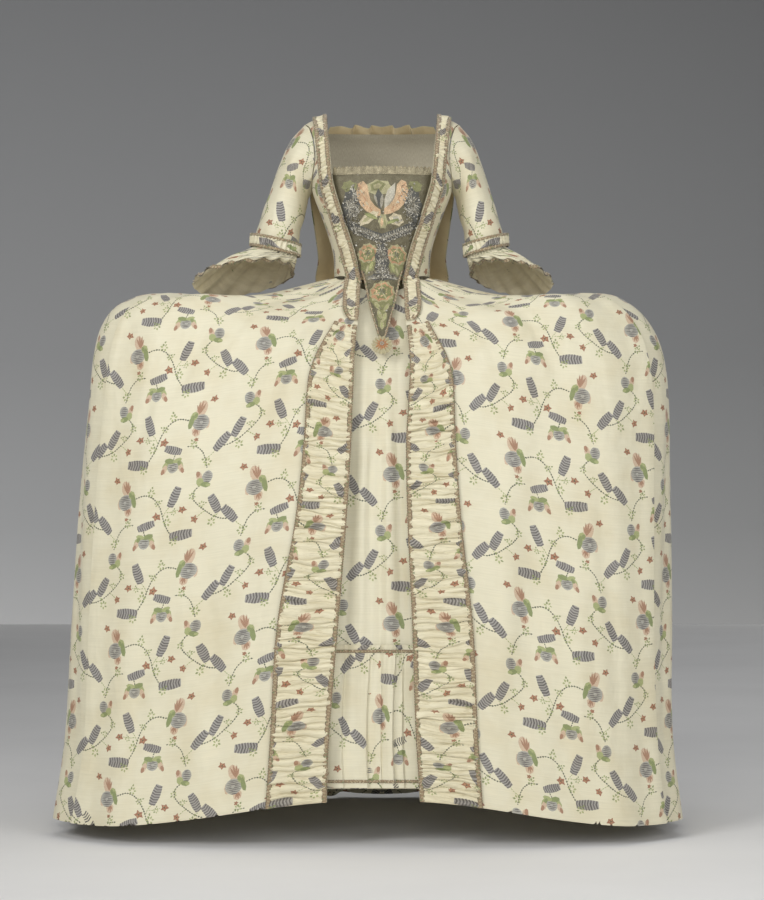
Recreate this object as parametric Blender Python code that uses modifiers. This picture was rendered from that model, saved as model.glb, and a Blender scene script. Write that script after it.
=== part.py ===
"""Robe a la francaise over a wide hoop: an open robe with a loose pleated back, stomacher and petticoat.

Metres, +Z up, the front facing -Y. Heights in the tables are above the floor. The origin is between
the shoulders, where the wearer holds the robe up. Left and right are the wearer's: left is +X.
"""
import math
from collections import namedtuple

import bmesh
import bpy
import numpy as np

SHOULDER_HEIGHT = 1.465
CLOTH = 0.0016  # one layer of brocaded silk
RUCHED = 0.0028  # gathered trimming
BRAID = 0.0018
SEAM = 0.0005  # half of the gap between two panels
LIFT = 0.0026  # from a panel to the trimming that lies on it
BRAID_LIFT = 0.0014
FRONT_SQUARENESS = 3.0
BACK_SQUARENESS = 2.3
RING_POINTS = 241
RIGHT, LEFT = -1, 1
SIDE_NAMES = {RIGHT: "right", LEFT: "left"}

# A ring is one level of the skirt or the bodice, all round: half widths, depths, and its own heights.
Ring = namedtuple("Ring", "right left front back side_height front_height back_height")
SKIRT = {
    "waist": Ring(0.112, 0.112, 0.100, 0.105, 1.128, 1.105, 1.140),
    "rise": Ring(0.250, 0.240, 0.140, 0.172, 1.095, 1.056, 1.104),
    "top": Ring(0.380, 0.360, 0.165, 0.195, 1.091, 1.018, 1.078),
    "hump": Ring(0.478, 0.459, 0.182, 0.212, 1.094, 0.985, 1.054),
    "brow": Ring(0.538, 0.509, 0.195, 0.226, 1.074, 0.952, 1.026),
    "corner": Ring(0.572, 0.549, 0.206, 0.238, 1.034, 0.912, 0.985),
    "hip": Ring(0.590, 0.576, 0.218, 0.252, 0.972, 0.862, 0.925),
    "thigh": Ring(0.602, 0.588, 0.232, 0.272, 0.870, 0.780, 0.830),
    "knee": Ring(0.619, 0.588, 0.248, 0.305, 0.680, 0.630, 0.650),
    "calf": Ring(0.633, 0.587, 0.261, 0.350, 0.430, 0.430, 0.410),
    "ankle": Ring(0.642, 0.593, 0.270, 0.405, 0.200, 0.235, 0.180),
    "hem": Ring(0.668, 0.612, 0.277, 0.462, 0.034, 0.094, 0.006),
}
BODICE = {
    "waist": Ring(0.098, 0.098, 0.101, 0.086, 1.134, 1.111, 1.147),
    "ribs": Ring(0.101, 0.101, 0.108, 0.090, 1.185, 1.180, 1.190),
    "midriff": Ring(0.119, 0.119, 0.118, 0.098, 1.245, 1.245, 1.245),
    "underarm": Ring(0.143, 0.143, 0.127, 0.104, 1.310, 1.310, 1.310),
    "bust": Ring(0.149, 0.149, 0.126, 0.106, 1.335, 1.335, 1.335),
    "chest": Ring(0.157, 0.157, 0.114, 0.104, 1.372, 1.372, 1.372),
    "collar": Ring(0.172, 0.172, 0.084, 0.088, 1.412, 1.412, 1.412),
    "nape": Ring(0.186, 0.186, 0.053, 0.060, 1.438, 1.438, 1.438),
    "crest": Ring(0.198, 0.198, 0.024, 0.028, 1.458, 1.458, 1.458),
}

# Where the fronts begin and end at each level of the bodice, from the middle, and the robing's width.
FrontEdge = namedtuple("FrontEdge", "ring inner outer robing")
FRONT_EDGES = [
    FrontEdge("waist", 0.041, 0.098, 0.034),
    FrontEdge("ribs", 0.055, 0.101, 0.035),
    FrontEdge("midriff", 0.075, 0.119, 0.035),
    FrontEdge("underarm", 0.095, 0.143, 0.033),
    FrontEdge("bust", 0.100, 0.141, 0.031),
    FrontEdge("chest", 0.104, 0.135, 0.029),
    FrontEdge("collar", 0.108, 0.139, 0.028),
    FrontEdge("nape", 0.111, 0.147, 0.028),
    FrontEdge("crest", 0.113, 0.156, 0.029),
]
ROBING_TAB = 0.55  # the robing ends this far from the skirt's second level to its third
ROBING_WIDTHS = (0.034, 0.034, 0.018)  # on the skirt: at the waist, the second level and the tab's end
STRAP_TOP = 1.4655
STRAP_FALL = {"top": 0.016, "crest": 0.010}  # the strap's outer edge is this much lower
STRAP_BACK = ["crest", "nape"]  # the strap goes over the shoulder to these levels behind

# The open front of the robe: the edge of the cloth and the outer edge of its trimming, from the middle.
SkirtEdge = namedtuple("SkirtEdge", "ring right left trim_right trim_left")
SKIRT_EDGES = [
    SkirtEdge("waist", 0.044, 0.044, 0.074, 0.074),
    SkirtEdge("rise", 0.046, 0.046, 0.084, 0.084),
    SkirtEdge("top", 0.050, 0.050, 0.100, 0.098),
    SkirtEdge("hump", 0.053, 0.053, 0.118, 0.114),
    SkirtEdge("brow", 0.055, 0.055, 0.134, 0.130),
    SkirtEdge("corner", 0.056, 0.054, 0.147, 0.142),
    SkirtEdge("hip", 0.058, 0.051, 0.152, 0.145),
    SkirtEdge("thigh", 0.061, 0.047, 0.156, 0.147),
    SkirtEdge("knee", 0.070, 0.050, 0.172, 0.157),
    SkirtEdge("calf", 0.086, 0.059, 0.207, 0.179),
    SkirtEdge("ankle", 0.102, 0.065, 0.219, 0.188),
    SkirtEdge("hem", 0.108, 0.074, 0.229, 0.198),
]
TRIM_FROM = "top"  # the skirt trimming starts here, under the end of the robing
SIDE_SEAM = 0.925  # of the ring's half width, on its front
BACK_SEAM = {  # distance from the middle of the seam between the side and the loose back
    "rise": 0.142, "top": 0.178, "hump": 0.212, "brow": 0.242, "corner": 0.268, "hip": 0.290,
    "thigh": 0.312, "knee": 0.335, "calf": 0.368, "ankle": 0.402, "hem": 0.435,
}
WAIST_BACK_SEAM = 0.088

# Folds of a panel: place from its first edge to its last, and how far the cloth stands out there.
Fold = namedtuple("Fold", "place out")
FRONT_FOLDS = [
    Fold(0.00, 0.0), Fold(0.14, 0.0), Fold(0.28, 0.0), Fold(0.45, 0.004), Fold(0.62, -0.003),
    Fold(0.78, 0.005), Fold(0.92, -0.002), Fold(1.00, 0.003),
]
SIDE_FOLDS = [
    Fold(0.00, -0.002), Fold(0.12, 0.004), Fold(0.24, -0.006), Fold(0.38, 0.008), Fold(0.42, -0.004),
    Fold(0.56, 0.009), Fold(0.62, -0.005), Fold(0.80, 0.005), Fold(1.00, -0.002),
]
SACK_FOLDS = [
    Fold(0.00, 0.004), Fold(0.20, 0.012), Fold(0.25, -0.004), Fold(0.52, 0.014), Fold(0.58, -0.005),
    Fold(0.80, 0.006), Fold(1.00, 0.000),
]
# How deep the folds are at each level.
FOLD_DEPTH = {
    "waist": 0.4, "rise": 0.7, "top": 0.9, "hump": 1.0, "brow": 1.0, "corner": 1.0, "hip": 1.0,
    "thigh": 0.9, "knee": 0.9, "calf": 1.0, "ankle": 1.2, "hem": 1.4,
}

# The loose back above the skirt: half width, depth at the middle and at the edge, depth of its pleats.
SackRow = namedtuple("SackRow", "height half_width centre edge folds")
SACK = [
    SackRow(1.452, 0.108, 0.056, 0.046, 0.5),
    SackRow(1.412, 0.132, 0.106, 0.086, 0.6),
    SackRow(1.365, 0.146, 0.124, 0.096, 0.8),
    SackRow(1.310, 0.150, 0.132, 0.078, 0.9),
    SackRow(1.240, 0.140, 0.142, 0.084, 0.9),
    SackRow(1.180, 0.132, 0.152, 0.098, 0.9),
    SackRow(1.132, 0.136, 0.166, 0.124, 0.8),
]

# A tube row runs from its outer side to its inner side: distances from the middle, and the front-back size.
Tube = namedtuple("Tube", "outer_right outer_left outer_height inner inner_height centre depth")
SLEEVE = [
    Tube(0.190, 0.187, 1.414, 0.151, 1.299, -0.001, 0.066),
    Tube(0.214, 0.208, 1.360, 0.154, 1.284, -0.004, 0.061),
    Tube(0.230, 0.223, 1.313, 0.159, 1.262, -0.008, 0.056),
    Tube(0.248, 0.238, 1.262, 0.167, 1.228, -0.016, 0.051),
    Tube(0.262, 0.251, 1.212, 0.176, 1.190, -0.026, 0.048),
]
CUFF = [
    Tube(0.2680, 0.2570, 1.224, 0.1680, 1.202, -0.025, 0.0545),
    Tube(0.2700, 0.2590, 1.211, 0.1680, 1.188, -0.026, 0.0555),
    Tube(0.2690, 0.2580, 1.199, 0.1700, 1.176, -0.027, 0.0540),
]
FLOUNCE = [
    Tube(0.2620, 0.2510, 1.2095, 0.1760, 1.1875, -0.026, 0.048),
    Tube(0.2635, 0.2525, 1.1960, 0.1758, 1.1730, -0.027, 0.049),
    Tube(0.3120, 0.2880, 1.1740, 0.1770, 1.1640, -0.020, 0.070),
    Tube(0.3520, 0.3220, 1.1460, 0.1800, 1.1560, -0.010, 0.088),
    Tube(0.3900, 0.3520, 1.1190, 0.1840, 1.1500, 0.000, 0.094),
]
FLOUNCE_RISE = 0.028  # the flounce is cut shorter at the front of the arm
FLOUNCE_WAVE = 0.004
SLEEVE_SIDES = 16
FLOUNCE_SIDES = 20

StomacherRow = namedtuple("StomacherRow", "height half_width centre edge")
STOMACHER = [
    StomacherRow(1.340, 0.1060, 0.1200, 0.0960),
    StomacherRow(1.290, 0.0960, 0.1180, 0.0990),
    StomacherRow(1.240, 0.0800, 0.1120, 0.0975),
    StomacherRow(1.180, 0.0590, 0.1040, 0.0950),
    StomacherRow(1.130, 0.0380, 0.1000, 0.0965),
    StomacherRow(1.080, 0.0270, 0.1235, 0.1225),
    StomacherRow(1.040, 0.0160, 0.1510, 0.1505),
    StomacherRow(1.006, 0.0060, 0.1740, 0.1738),
]
LACE_TOP = 1.354
ROSETTE_RADIUS = 0.020
ROSETTE_THICKNESS = 0.006
ROSETTE_CENTRE = (0.0, -0.1925, 0.9905 - SHOULDER_HEIGHT)
ROSETTE_TILT = math.radians(62)

PETTICOAT_INSET = {
    "waist": 0.006, "rise": 0.011, "top": 0.014, "hump": 0.015, "brow": 0.015, "corner": 0.015,
    "hip": 0.015, "thigh": 0.016, "knee": 0.020, "calf": 0.024, "ankle": 0.026, "hem": 0.026,
}
PETTICOAT_HEM = 0.114
PETTICOAT_SEAM = 0.300  # from the middle, between the front and the rest
PETTICOAT_GAP = 0.0012  # half of the gap at that seam, where the panels meet at an angle
FLOUNCE_HEADING = 0.392
FLOUNCE_END = 0.122
FLOUNCE_COLUMNS = 24
PETTICOAT_WAVE = 0.0025
BRAID_WIDTH = 0.011


def smooth_step(value):
    value = np.clip(value, 0, 1)
    return value * value * (3 - 2 * value)


def half_ring(ring, side, inset=0.0):
    """One half of a ring as many points, from the centre front round to the centre back."""
    angle = np.linspace(-math.pi / 2, math.pi / 2, RING_POINTS)
    front = angle < 0
    power = 2 / np.where(front, FRONT_SQUARENESS, BACK_SQUARENESS)
    width = (ring.left if side == LEFT else ring.right) - inset
    depth = np.where(front, ring.front, ring.back) - inset
    across = np.clip(np.cos(angle), 0, 1) ** power
    along = np.sign(angle) * np.abs(np.sin(angle)) ** power
    end_height = np.where(front, ring.front_height, ring.back_height)
    height = end_height + (ring.side_height - end_height) * smooth_step((across - 0.05) / 0.85)
    return np.column_stack([side * width * across, depth * along, height - SHOULDER_HEIGHT])


def arcs(points):
    """Length along the points, from the first one."""
    steps = np.linalg.norm(np.diff(points, axis=0), axis=1)
    return np.concatenate([[0], np.cumsum(steps)])


def arc_in_front(points, distance):
    half = RING_POINTS // 2 + 1
    return np.interp(distance, np.abs(points[:half, 0]), arcs(points)[:half])


def arc_behind(points, distance):
    half = RING_POINTS // 2
    return np.interp(-distance, -np.abs(points[half:, 0]), arcs(points)[half:])


def along_line(points, places):
    """Points at the given lengths along a line."""
    lengths = arcs(points)
    return np.column_stack([np.interp(places, lengths, points[:, axis]) for axis in range(3)])


def stretch(points, first, last, shares):
    return along_line(points, first + (last - first) * np.asarray(shares))


def normals_of(grid, outward, tube=False):
    if tube:
        closed = np.concatenate([grid[:, -1:], grid, grid[:, :1]], axis=1)
        across = np.gradient(closed, axis=1)[:, 1:-1]
    else:
        across = np.gradient(grid, axis=1)
    down = np.gradient(grid, axis=0)
    normal = np.cross(across, down) * outward
    return normal / np.linalg.norm(normal, axis=2, keepdims=True)


def folded(grid, outward, folds, depths):
    """The grid with its folds stood out from it: a fold for each column, a depth for each row."""
    outs = np.array([fold.out for fold in folds])[None, :, None]
    return grid + normals_of(grid, outward) * outs * np.array(depths)[:, None, None]


def lifted(grid, outward, distance, tube=False):
    return grid + normals_of(grid, outward, tube) * distance


def across_grid(grid, row, shares):
    """Points of a panel's row at the given shares of its width, on its facets."""
    return along_line(grid[row], np.asarray(shares) * arcs(grid[row])[-1])


def make_material(name, colour, roughness, metallic=0.0):
    material = bpy.data.materials.new(name)
    material.use_nodes = True
    shader = material.node_tree.nodes["Principled BSDF"]
    shader.inputs["Base Color"].default_value = (*colour, 1)
    shader.inputs["Roughness"].default_value = roughness
    shader.inputs["Metallic"].default_value = metallic
    material.diffuse_color = (*colour, 1)
    return material


def make_sheet(name, grid, outward, material, thickness=CLOTH, grows=-1, tube=False):
    """A cloth wall on a grid of points. grows is -1 for a wall inside the grid, 1 for one outside it."""
    rows, columns = grid.shape[:2]
    faces = []
    for row in range(rows - 1):
        for column in range(columns if tube else columns - 1):
            following = (column + 1) % columns
            first = row * columns
            below = first + columns
            face = (first + column, first + following, below + following, below + column)
            faces.append(face if outward > 0 else face[::-1])
    mesh = bpy.data.meshes.new(name)
    mesh.from_pydata(grid.reshape(-1, 3).tolist(), [], faces)
    mesh.materials.append(material)
    mesh.shade_smooth()
    sheet = bpy.data.objects.new(name, mesh)
    ROBE.objects.link(sheet)
    wall = sheet.modifiers.new("wall", "SOLIDIFY")
    wall.thickness = thickness
    wall.offset = grows
    return sheet


def skirt_front(side):
    """The front panel of the open robe, from its front edge to the side seam."""
    shares = [fold.place for fold in FRONT_FOLDS]
    rows = []
    for edge in SKIRT_EDGES:
        points = half_ring(SKIRT[edge.ring], side)
        first = arc_in_front(points, edge.left if side == LEFT else edge.right)
        seam = arc_in_front(points, SIDE_SEAM * np.abs(points[:, 0]).max())
        rows.append(stretch(points, first, seam - SEAM, shares))
    depths = [FOLD_DEPTH[edge.ring] for edge in SKIRT_EDGES]
    return folded(np.array(rows), -side, FRONT_FOLDS, depths)


def skirt_side(side):
    """The side panel, pleated over the hip, from the side seam to the loose back."""
    shares = [fold.place for fold in SIDE_FOLDS]
    rows = []
    for name, ring in SKIRT.items():
        points = half_ring(ring, side)
        first = arc_in_front(points, SIDE_SEAM * np.abs(points[:, 0]).max())
        last = arc_behind(points, BACK_SEAM.get(name, WAIST_BACK_SEAM))
        rows.append(stretch(points, first + SEAM, last - SEAM, shares))
    return folded(np.array(rows), -side, SIDE_FOLDS, list(FOLD_DEPTH.values()))


def sack_half(side):
    """Half of the loose back, from the neck to the hem, from the middle to its seam."""
    shares = np.array([fold.place for fold in SACK_FOLDS])
    rows = []
    depths = []
    for row in SACK:
        x = side * np.maximum(shares * row.half_width, SEAM)
        y = row.edge + (row.centre - row.edge) * (1 - shares**2)
        rows.append(np.column_stack([x, y, np.full(len(x), row.height - SHOULDER_HEIGHT)]))
        depths.append(row.folds)
    for name, distance in BACK_SEAM.items():
        points = half_ring(SKIRT[name], side)
        seam = arc_behind(points, distance)
        rows.append(stretch(points, arcs(points)[-1] - SEAM, seam + SEAM, shares))
        depths.append(FOLD_DEPTH[name])
    return folded(np.array(rows), side, SACK_FOLDS, depths)


def bodice_front(side):
    """A bodice front with its shoulder strap, from the waist over the shoulder to the back."""
    shares = np.linspace(0, 1, 6)
    rows = []
    for edge in FRONT_EDGES:
        points = half_ring(BODICE[edge.ring], side)
        first = arc_in_front(points, edge.inner)
        last = arc_in_front(points, edge.outer)
        rows.append(stretch(points, first, last - SEAM, shares))
    top = FRONT_EDGES[-1]
    x = side * (top.inner + (top.outer + 0.002 - top.inner) * shares)
    rows.append(np.column_stack([x, 0 * x, 0 * x + STRAP_TOP - SHOULDER_HEIGHT]))
    rows[-1][:, 2] -= STRAP_FALL["top"] * shares**2
    for name in STRAP_BACK:
        edge = next(row for row in FRONT_EDGES if row.ring == name)
        points = half_ring(BODICE[name], side)
        inner = arc_behind(points, edge.inner)
        outer = arc_behind(points, edge.outer)
        rows.append(stretch(points, inner, outer, shares))
    for row in (len(FRONT_EDGES) - 1, len(FRONT_EDGES) + 1):
        rows[row][:, 2] -= STRAP_FALL["crest"] * shares**2
    return np.array(rows)[::-1]


def bodice_back():
    """The fitted back under the loose one, across both sides, from the nape to the waist."""
    shares = np.linspace(0, 1, 6)
    rows = []
    for edge in reversed(FRONT_EDGES[:-1]):
        halves = []
        for side in (RIGHT, LEFT):
            points = half_ring(BODICE[edge.ring], side)
            outer = arc_behind(points, edge.outer)
            halves.append(stretch(points, outer + SEAM, arcs(points)[-1], shares))
        rows.append(np.concatenate([halves[0], halves[1][-2::-1]]))
    grid = np.array(rows)
    grid[0, :, 2] -= 2 * SEAM
    return grid


def armhole(side, front, back):
    """The edge of the armhole as a closed line, from the shoulder down the front and up the back."""
    strap_rows = len(STRAP_BACK)
    underarm = len(front) - 1 - [edge.ring for edge in FRONT_EDGES].index("underarm")
    front_edge = front[strap_rows : underarm + 1, -1]
    back_column = -1 if side == LEFT else 0
    back_rows = len(back) - [edge.ring for edge in FRONT_EDGES].index("underarm")
    back_edge = back[:back_rows, back_column]
    behind = np.concatenate([front[: strap_rows + 1, -1][::-1], back_edge])
    half = np.linspace(0, 1, SLEEVE_SIDES // 2 + 1)
    down = along_line(front_edge, half * arcs(front_edge)[-1])
    up = along_line(behind, half * arcs(behind)[-1])[::-1]
    loop = np.concatenate([down[:-1], up[:-1]])
    loop[:, 0] += side * 4 * SEAM
    return loop


def tube_ring(row, side, sides, wave=0.0, rise=0.0):
    """A ring of a sleeve or flounce, from its outer side by the front to its inner side and round."""
    angle = np.arange(sides) * 2 * math.pi / sides
    outer = row.outer_left if side == LEFT else row.outer_right
    reach = 1 + wave * np.where(np.arange(sides) % 2, 1, -1) / row.depth
    x = (outer + row.inner) / 2 + np.cos(angle) * reach * (outer - row.inner) / 2
    y = row.centre - np.sin(angle) * reach * row.depth
    level = (row.outer_height + row.inner_height) / 2
    z = level + np.cos(angle) * (row.outer_height - row.inner_height) / 2 + np.sin(angle) * rise
    return np.column_stack([side * x, y, z - SHOULDER_HEIGHT])


def sleeve(side, loop):
    return np.array([loop] + [tube_ring(row, side, SLEEVE_SIDES) for row in SLEEVE])


def cuff(side):
    return np.array([tube_ring(row, side, SLEEVE_SIDES) for row in CUFF])


def sleeve_flounce(side):
    rows = []
    for index, row in enumerate(FLOUNCE):
        share = max(0, index - 1) / (len(FLOUNCE) - 2)
        rows.append(tube_ring(row, side, FLOUNCE_SIDES, FLOUNCE_WAVE * share, FLOUNCE_RISE * share))
    return np.array(rows)


def robing(front, skirt):
    """The ruched robing along the bodice front, over the shoulder, and down past the waist."""
    crest = FRONT_EDGES[-1].robing
    widths = [crest, crest] + [edge.robing for edge in reversed(FRONT_EDGES)]
    on_bodice = front[len(STRAP_BACK) - 1 :]
    tab = skirt[1] * (1 - ROBING_TAB) + skirt[2] * ROBING_TAB
    on_skirt = np.array([skirt[0], skirt[1], tab])
    rows = []
    for grid, row_widths in ((on_bodice, widths), (on_skirt, ROBING_WIDTHS)):
        for row, width in enumerate(row_widths):
            end = width / arcs(grid[row])[-1]
            rows.append(across_grid(grid, row, [0, end / 2, end]))
    return np.array(rows)


def skirt_trim(side, skirt):
    """The wide ruched trimming down the open front, made from the panel's own points."""
    rows = []
    first = list(SKIRT).index(TRIM_FROM)
    for row in range(first, len(SKIRT_EDGES)):
        edge = SKIRT_EDGES[row]
        if side == LEFT:
            width = edge.trim_left - edge.left
        else:
            width = edge.trim_right - edge.right
        end = width / arcs(skirt[row])[-1]
        rows.append(across_grid(skirt, row, np.array([0, 0.33, 0.67, 1]) * end))
    return np.array(rows)


def edge_braid(grid, column):
    """A braid along one edge of a trimming: column 0 is its inner edge, -1 its outer edge."""
    rows = []
    for row in range(len(grid)):
        length = arcs(grid[row])[-1]
        share = min(0.45, BRAID_WIDTH / length)
        rows.append(across_grid(grid, row, [0, share] if column == 0 else [1 - share, 1]))
    return np.array(rows)


def petticoat_levels(last):
    """The rings of the petticoat, inside the robe's, down to a level hem."""
    levels = []
    for name, ring in list(SKIRT.items())[:-1]:
        inset = PETTICOAT_INSET[name]
        levels.append((
            ring._replace(
                side_height=ring.side_height - inset,
                front_height=ring.front_height - inset,
                back_height=ring.back_height - inset,
            ),
            inset,
        ))
    above = SKIRT["ankle"]
    below = SKIRT["hem"]
    at_side = (above.side_height - last) / (above.side_height - below.side_height)
    at_front = (above.front_height - last) / (above.front_height - below.front_height)
    at_back = (above.back_height - last) / (above.back_height - below.back_height)
    bottom = Ring(
        above.right + (below.right - above.right) * at_side,
        above.left + (below.left - above.left) * at_side,
        above.front + (below.front - above.front) * at_front,
        above.back + (below.back - above.back) * at_back,
        last, last, last,
    )
    return levels + [(bottom, PETTICOAT_INSET["hem"])]


def petticoat_front():
    """The front of the petticoat, from seam to seam across the middle."""
    shares = np.linspace(0, 1, 6)
    rows = []
    for ring, inset in petticoat_levels(PETTICOAT_HEM):
        halves = []
        for side in (RIGHT, LEFT):
            points = half_ring(ring, side, inset)
            width = min(PETTICOAT_SEAM, 0.6 * np.abs(points[:, 0]).max())
            halves.append(stretch(points, 0, arc_in_front(points, width) - PETTICOAT_GAP, shares))
        rows.append(np.concatenate([halves[0][::-1], halves[1][1:]]))
    return np.array(rows)


def petticoat_back():
    """The rest of the petticoat, round the sides and the back."""
    shares = np.linspace(0, 1, 10)
    rows = []
    for ring, inset in petticoat_levels(PETTICOAT_HEM):
        halves = []
        for side in (LEFT, RIGHT):
            points = half_ring(ring, side, inset)
            width = min(PETTICOAT_SEAM, 0.6 * np.abs(points[:, 0]).max())
            first = arc_in_front(points, width)
            halves.append(stretch(points, first + PETTICOAT_GAP, arcs(points)[-1], shares))
        rows.append(np.concatenate([halves[0], halves[1][-2::-1]]))
    return np.array(rows)


def petticoat_flounce(front):
    """The gathered flounce on the petticoat front, from its heading to its hem."""
    rows = []
    shares = np.linspace(0.01, 0.99, FLOUNCE_COLUMNS + 1)
    wave = np.where(np.arange(len(shares)) % 2, 1, -1)
    heights = front[:, 5, 2] + SHOULDER_HEIGHT
    for height, depth in ((FLOUNCE_HEADING, 0.4), (heights[-2], 0.8), (FLOUNCE_END, 1.0)):
        below = int(np.argmax(heights < height - SEAM))
        above = below - 1
        share = (heights[above] - height) / (heights[above] - heights[below])
        level = front[above] * (1 - share) + front[below] * share
        points = along_line(level, shares * arcs(level)[-1])
        points[:, 1] -= wave * PETTICOAT_WAVE * depth + PETTICOAT_WAVE + LIFT
        rows.append(points)
    return np.array(rows)


def band(grid, row, other, width):
    """A strip along a row of a grid, going towards another row."""
    toward = grid[other] - grid[row]
    toward /= np.linalg.norm(toward, axis=1, keepdims=True)
    strip = [grid[row], grid[row] + toward * width]
    return np.array(strip if other > row else strip[::-1])


def stomacher():
    """The stiff triangle between the bodice fronts, bent forward over the petticoat."""
    rows = []
    across = np.linspace(-1, 1, 7)
    for row in STOMACHER:
        x = across * row.half_width
        y = -(row.edge + (row.centre - row.edge) * (1 - across**2))
        rows.append(np.column_stack([x, y, 0 * x + row.height - SHOULDER_HEIGHT]))
    return np.array(rows)


def stomacher_lace(board):
    """A narrow lace standing at the stomacher's top edge, on its outer face."""
    lower = board[0].copy()
    lower[:, 1] -= 2 * SEAM
    upper = lower.copy()
    upper[:, 2] = LACE_TOP - SHOULDER_HEIGHT
    lower[:, 2] -= 0.006
    lower = lower[1:-1]
    upper = upper[1:-1]
    return np.array([upper, lower])


def make_rosette(material):
    mesh = bpy.data.meshes.new("stomacher_rosette")
    shape = bmesh.new()
    bmesh.ops.create_cone(
        shape, cap_ends=True, segments=16, radius1=ROSETTE_RADIUS, radius2=0.6 * ROSETTE_RADIUS,
        depth=ROSETTE_THICKNESS,
    )
    shape.to_mesh(mesh)
    shape.free()
    mesh.materials.append(material)
    rosette = bpy.data.objects.new("stomacher_rosette", mesh)
    rosette.location = ROSETTE_CENTRE
    rosette.rotation_euler = (ROSETTE_TILT, 0, 0)
    ROBE.objects.link(rosette)


for old in list(bpy.data.objects):
    bpy.data.objects.remove(old)
ROBE = bpy.data.collections.new("robe_a_la_francaise")
bpy.context.scene.collection.children.link(ROBE)

BROCADE = make_material("brocaded_silk", (0.76, 0.71, 0.53), 0.55)
TRIMMING = make_material("ruched_silk", (0.70, 0.65, 0.48), 0.6)
FLY_BRAID = make_material("fly_braid", (0.38, 0.30, 0.18), 0.8)
SILVER = make_material("silver_brocade", (0.30, 0.28, 0.22), 0.45, 0.3)
LACE = make_material("silver_lace", (0.55, 0.53, 0.46), 0.6, 0.2)
LINEN = make_material("linen", (0.60, 0.52, 0.36), 0.9)

fitted_back = bodice_back()
make_sheet("bodice_back", fitted_back, 1, LINEN)
for side in (RIGHT, LEFT):
    name = SIDE_NAMES[side]
    front = bodice_front(side)
    skirt = skirt_front(side)
    make_sheet(f"bodice_front_{name}", front, -side, BROCADE)
    make_sheet(f"skirt_front_{name}", skirt, -side, BROCADE)
    make_sheet(f"skirt_side_{name}", skirt_side(side), -side, BROCADE)
    make_sheet(f"sack_back_{name}", sack_half(side), side, BROCADE)

    loop = armhole(side, front, fitted_back)
    make_sheet(f"sleeve_{name}", sleeve(side, loop), side, BROCADE, tube=True)
    band_rows = cuff(side)
    make_sheet(f"cuff_{name}", band_rows, side, TRIMMING, RUCHED, tube=True)
    flounce = sleeve_flounce(side)
    make_sheet(f"sleeve_flounce_{name}", flounce, side, BROCADE, tube=True)
    over = lifted(flounce, side, BRAID_LIFT, tube=True)
    edge = np.array([over[-2] * 0.25 + over[-1] * 0.75, over[-1]])
    make_sheet(f"sleeve_flounce_braid_{name}", edge, side, FLY_BRAID, BRAID, 1, tube=True)

    robing_rows = lifted(robing(front, skirt), -side, LIFT)
    make_sheet(f"robing_{name}", robing_rows, -side, TRIMMING, RUCHED, 1)
    trim_rows = lifted(skirt_trim(side, skirt), -side, LIFT)
    make_sheet(f"skirt_trim_{name}", trim_rows, -side, TRIMMING, RUCHED, 1)
    for place, column in (("inner", 0), ("outer", -1)):
        rise = RUCHED + BRAID_LIFT
        rows = lifted(edge_braid(robing_rows, column), -side, rise)
        make_sheet(f"robing_braid_{place}_{name}", rows, -side, FLY_BRAID, BRAID, 1)
        rows = lifted(edge_braid(trim_rows, column), -side, rise)
        make_sheet(f"skirt_trim_braid_{place}_{name}", rows, -side, FLY_BRAID, BRAID, 1)

board = stomacher()
make_sheet("stomacher", board, -1, SILVER)
make_sheet("stomacher_lace", stomacher_lace(board), -1, LACE, 0.001, 1)
make_rosette(SILVER)

petticoat = petticoat_front()
make_sheet("petticoat_front", petticoat, -1, BROCADE)
make_sheet("petticoat_back", petticoat_back(), -1, BROCADE)
gathered = petticoat_flounce(petticoat)
make_sheet("petticoat_flounce", gathered, -1, BROCADE, grows=1)
for name, row, other in (("heading", 0, 1), ("hem", 2, 1)):
    strip = band(gathered, row, other, BRAID_WIDTH)
    strip[:, :, 1] -= CLOTH + BRAID_LIFT
    make_sheet(f"petticoat_{name}_braid", strip, -1, FLY_BRAID, BRAID, 1)
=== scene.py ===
"""The looks of the robe a la francaise: brocaded silk, ruched trimmings, braids, stomacher and petticoat."""
import math
from collections import namedtuple

import bpy
import numpy as np
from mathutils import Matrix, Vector
from mathutils.geometry import delaunay_2d_cdt


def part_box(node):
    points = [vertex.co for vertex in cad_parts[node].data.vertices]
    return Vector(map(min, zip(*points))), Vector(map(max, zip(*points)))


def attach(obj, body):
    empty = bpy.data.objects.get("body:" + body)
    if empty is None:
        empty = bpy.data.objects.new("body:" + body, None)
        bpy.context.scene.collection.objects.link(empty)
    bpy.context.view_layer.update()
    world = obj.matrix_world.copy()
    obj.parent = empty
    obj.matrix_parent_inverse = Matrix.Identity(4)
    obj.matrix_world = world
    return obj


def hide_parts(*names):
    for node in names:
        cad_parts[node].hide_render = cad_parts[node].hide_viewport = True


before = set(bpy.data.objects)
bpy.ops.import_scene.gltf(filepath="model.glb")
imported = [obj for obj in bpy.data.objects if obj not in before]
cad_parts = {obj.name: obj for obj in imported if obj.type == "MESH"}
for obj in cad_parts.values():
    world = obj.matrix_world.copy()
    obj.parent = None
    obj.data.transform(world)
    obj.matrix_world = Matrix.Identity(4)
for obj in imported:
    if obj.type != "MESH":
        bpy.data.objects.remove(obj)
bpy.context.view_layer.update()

# ---------------------------------------------------------------------------------------------------
# The garment's own sizes, as the CAD has them. Metres; heights are above the floor.
# ---------------------------------------------------------------------------------------------------
SHOULDER_HEIGHT = 1.465
FRONT_SQUARENESS = 3.0
BACK_SQUARENESS = 2.3
RING_POINTS = 481
RIGHT, LEFT = -1, 1
SIDE_NAMES = {RIGHT: "right", LEFT: "left"}
MM = 0.001

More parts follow.
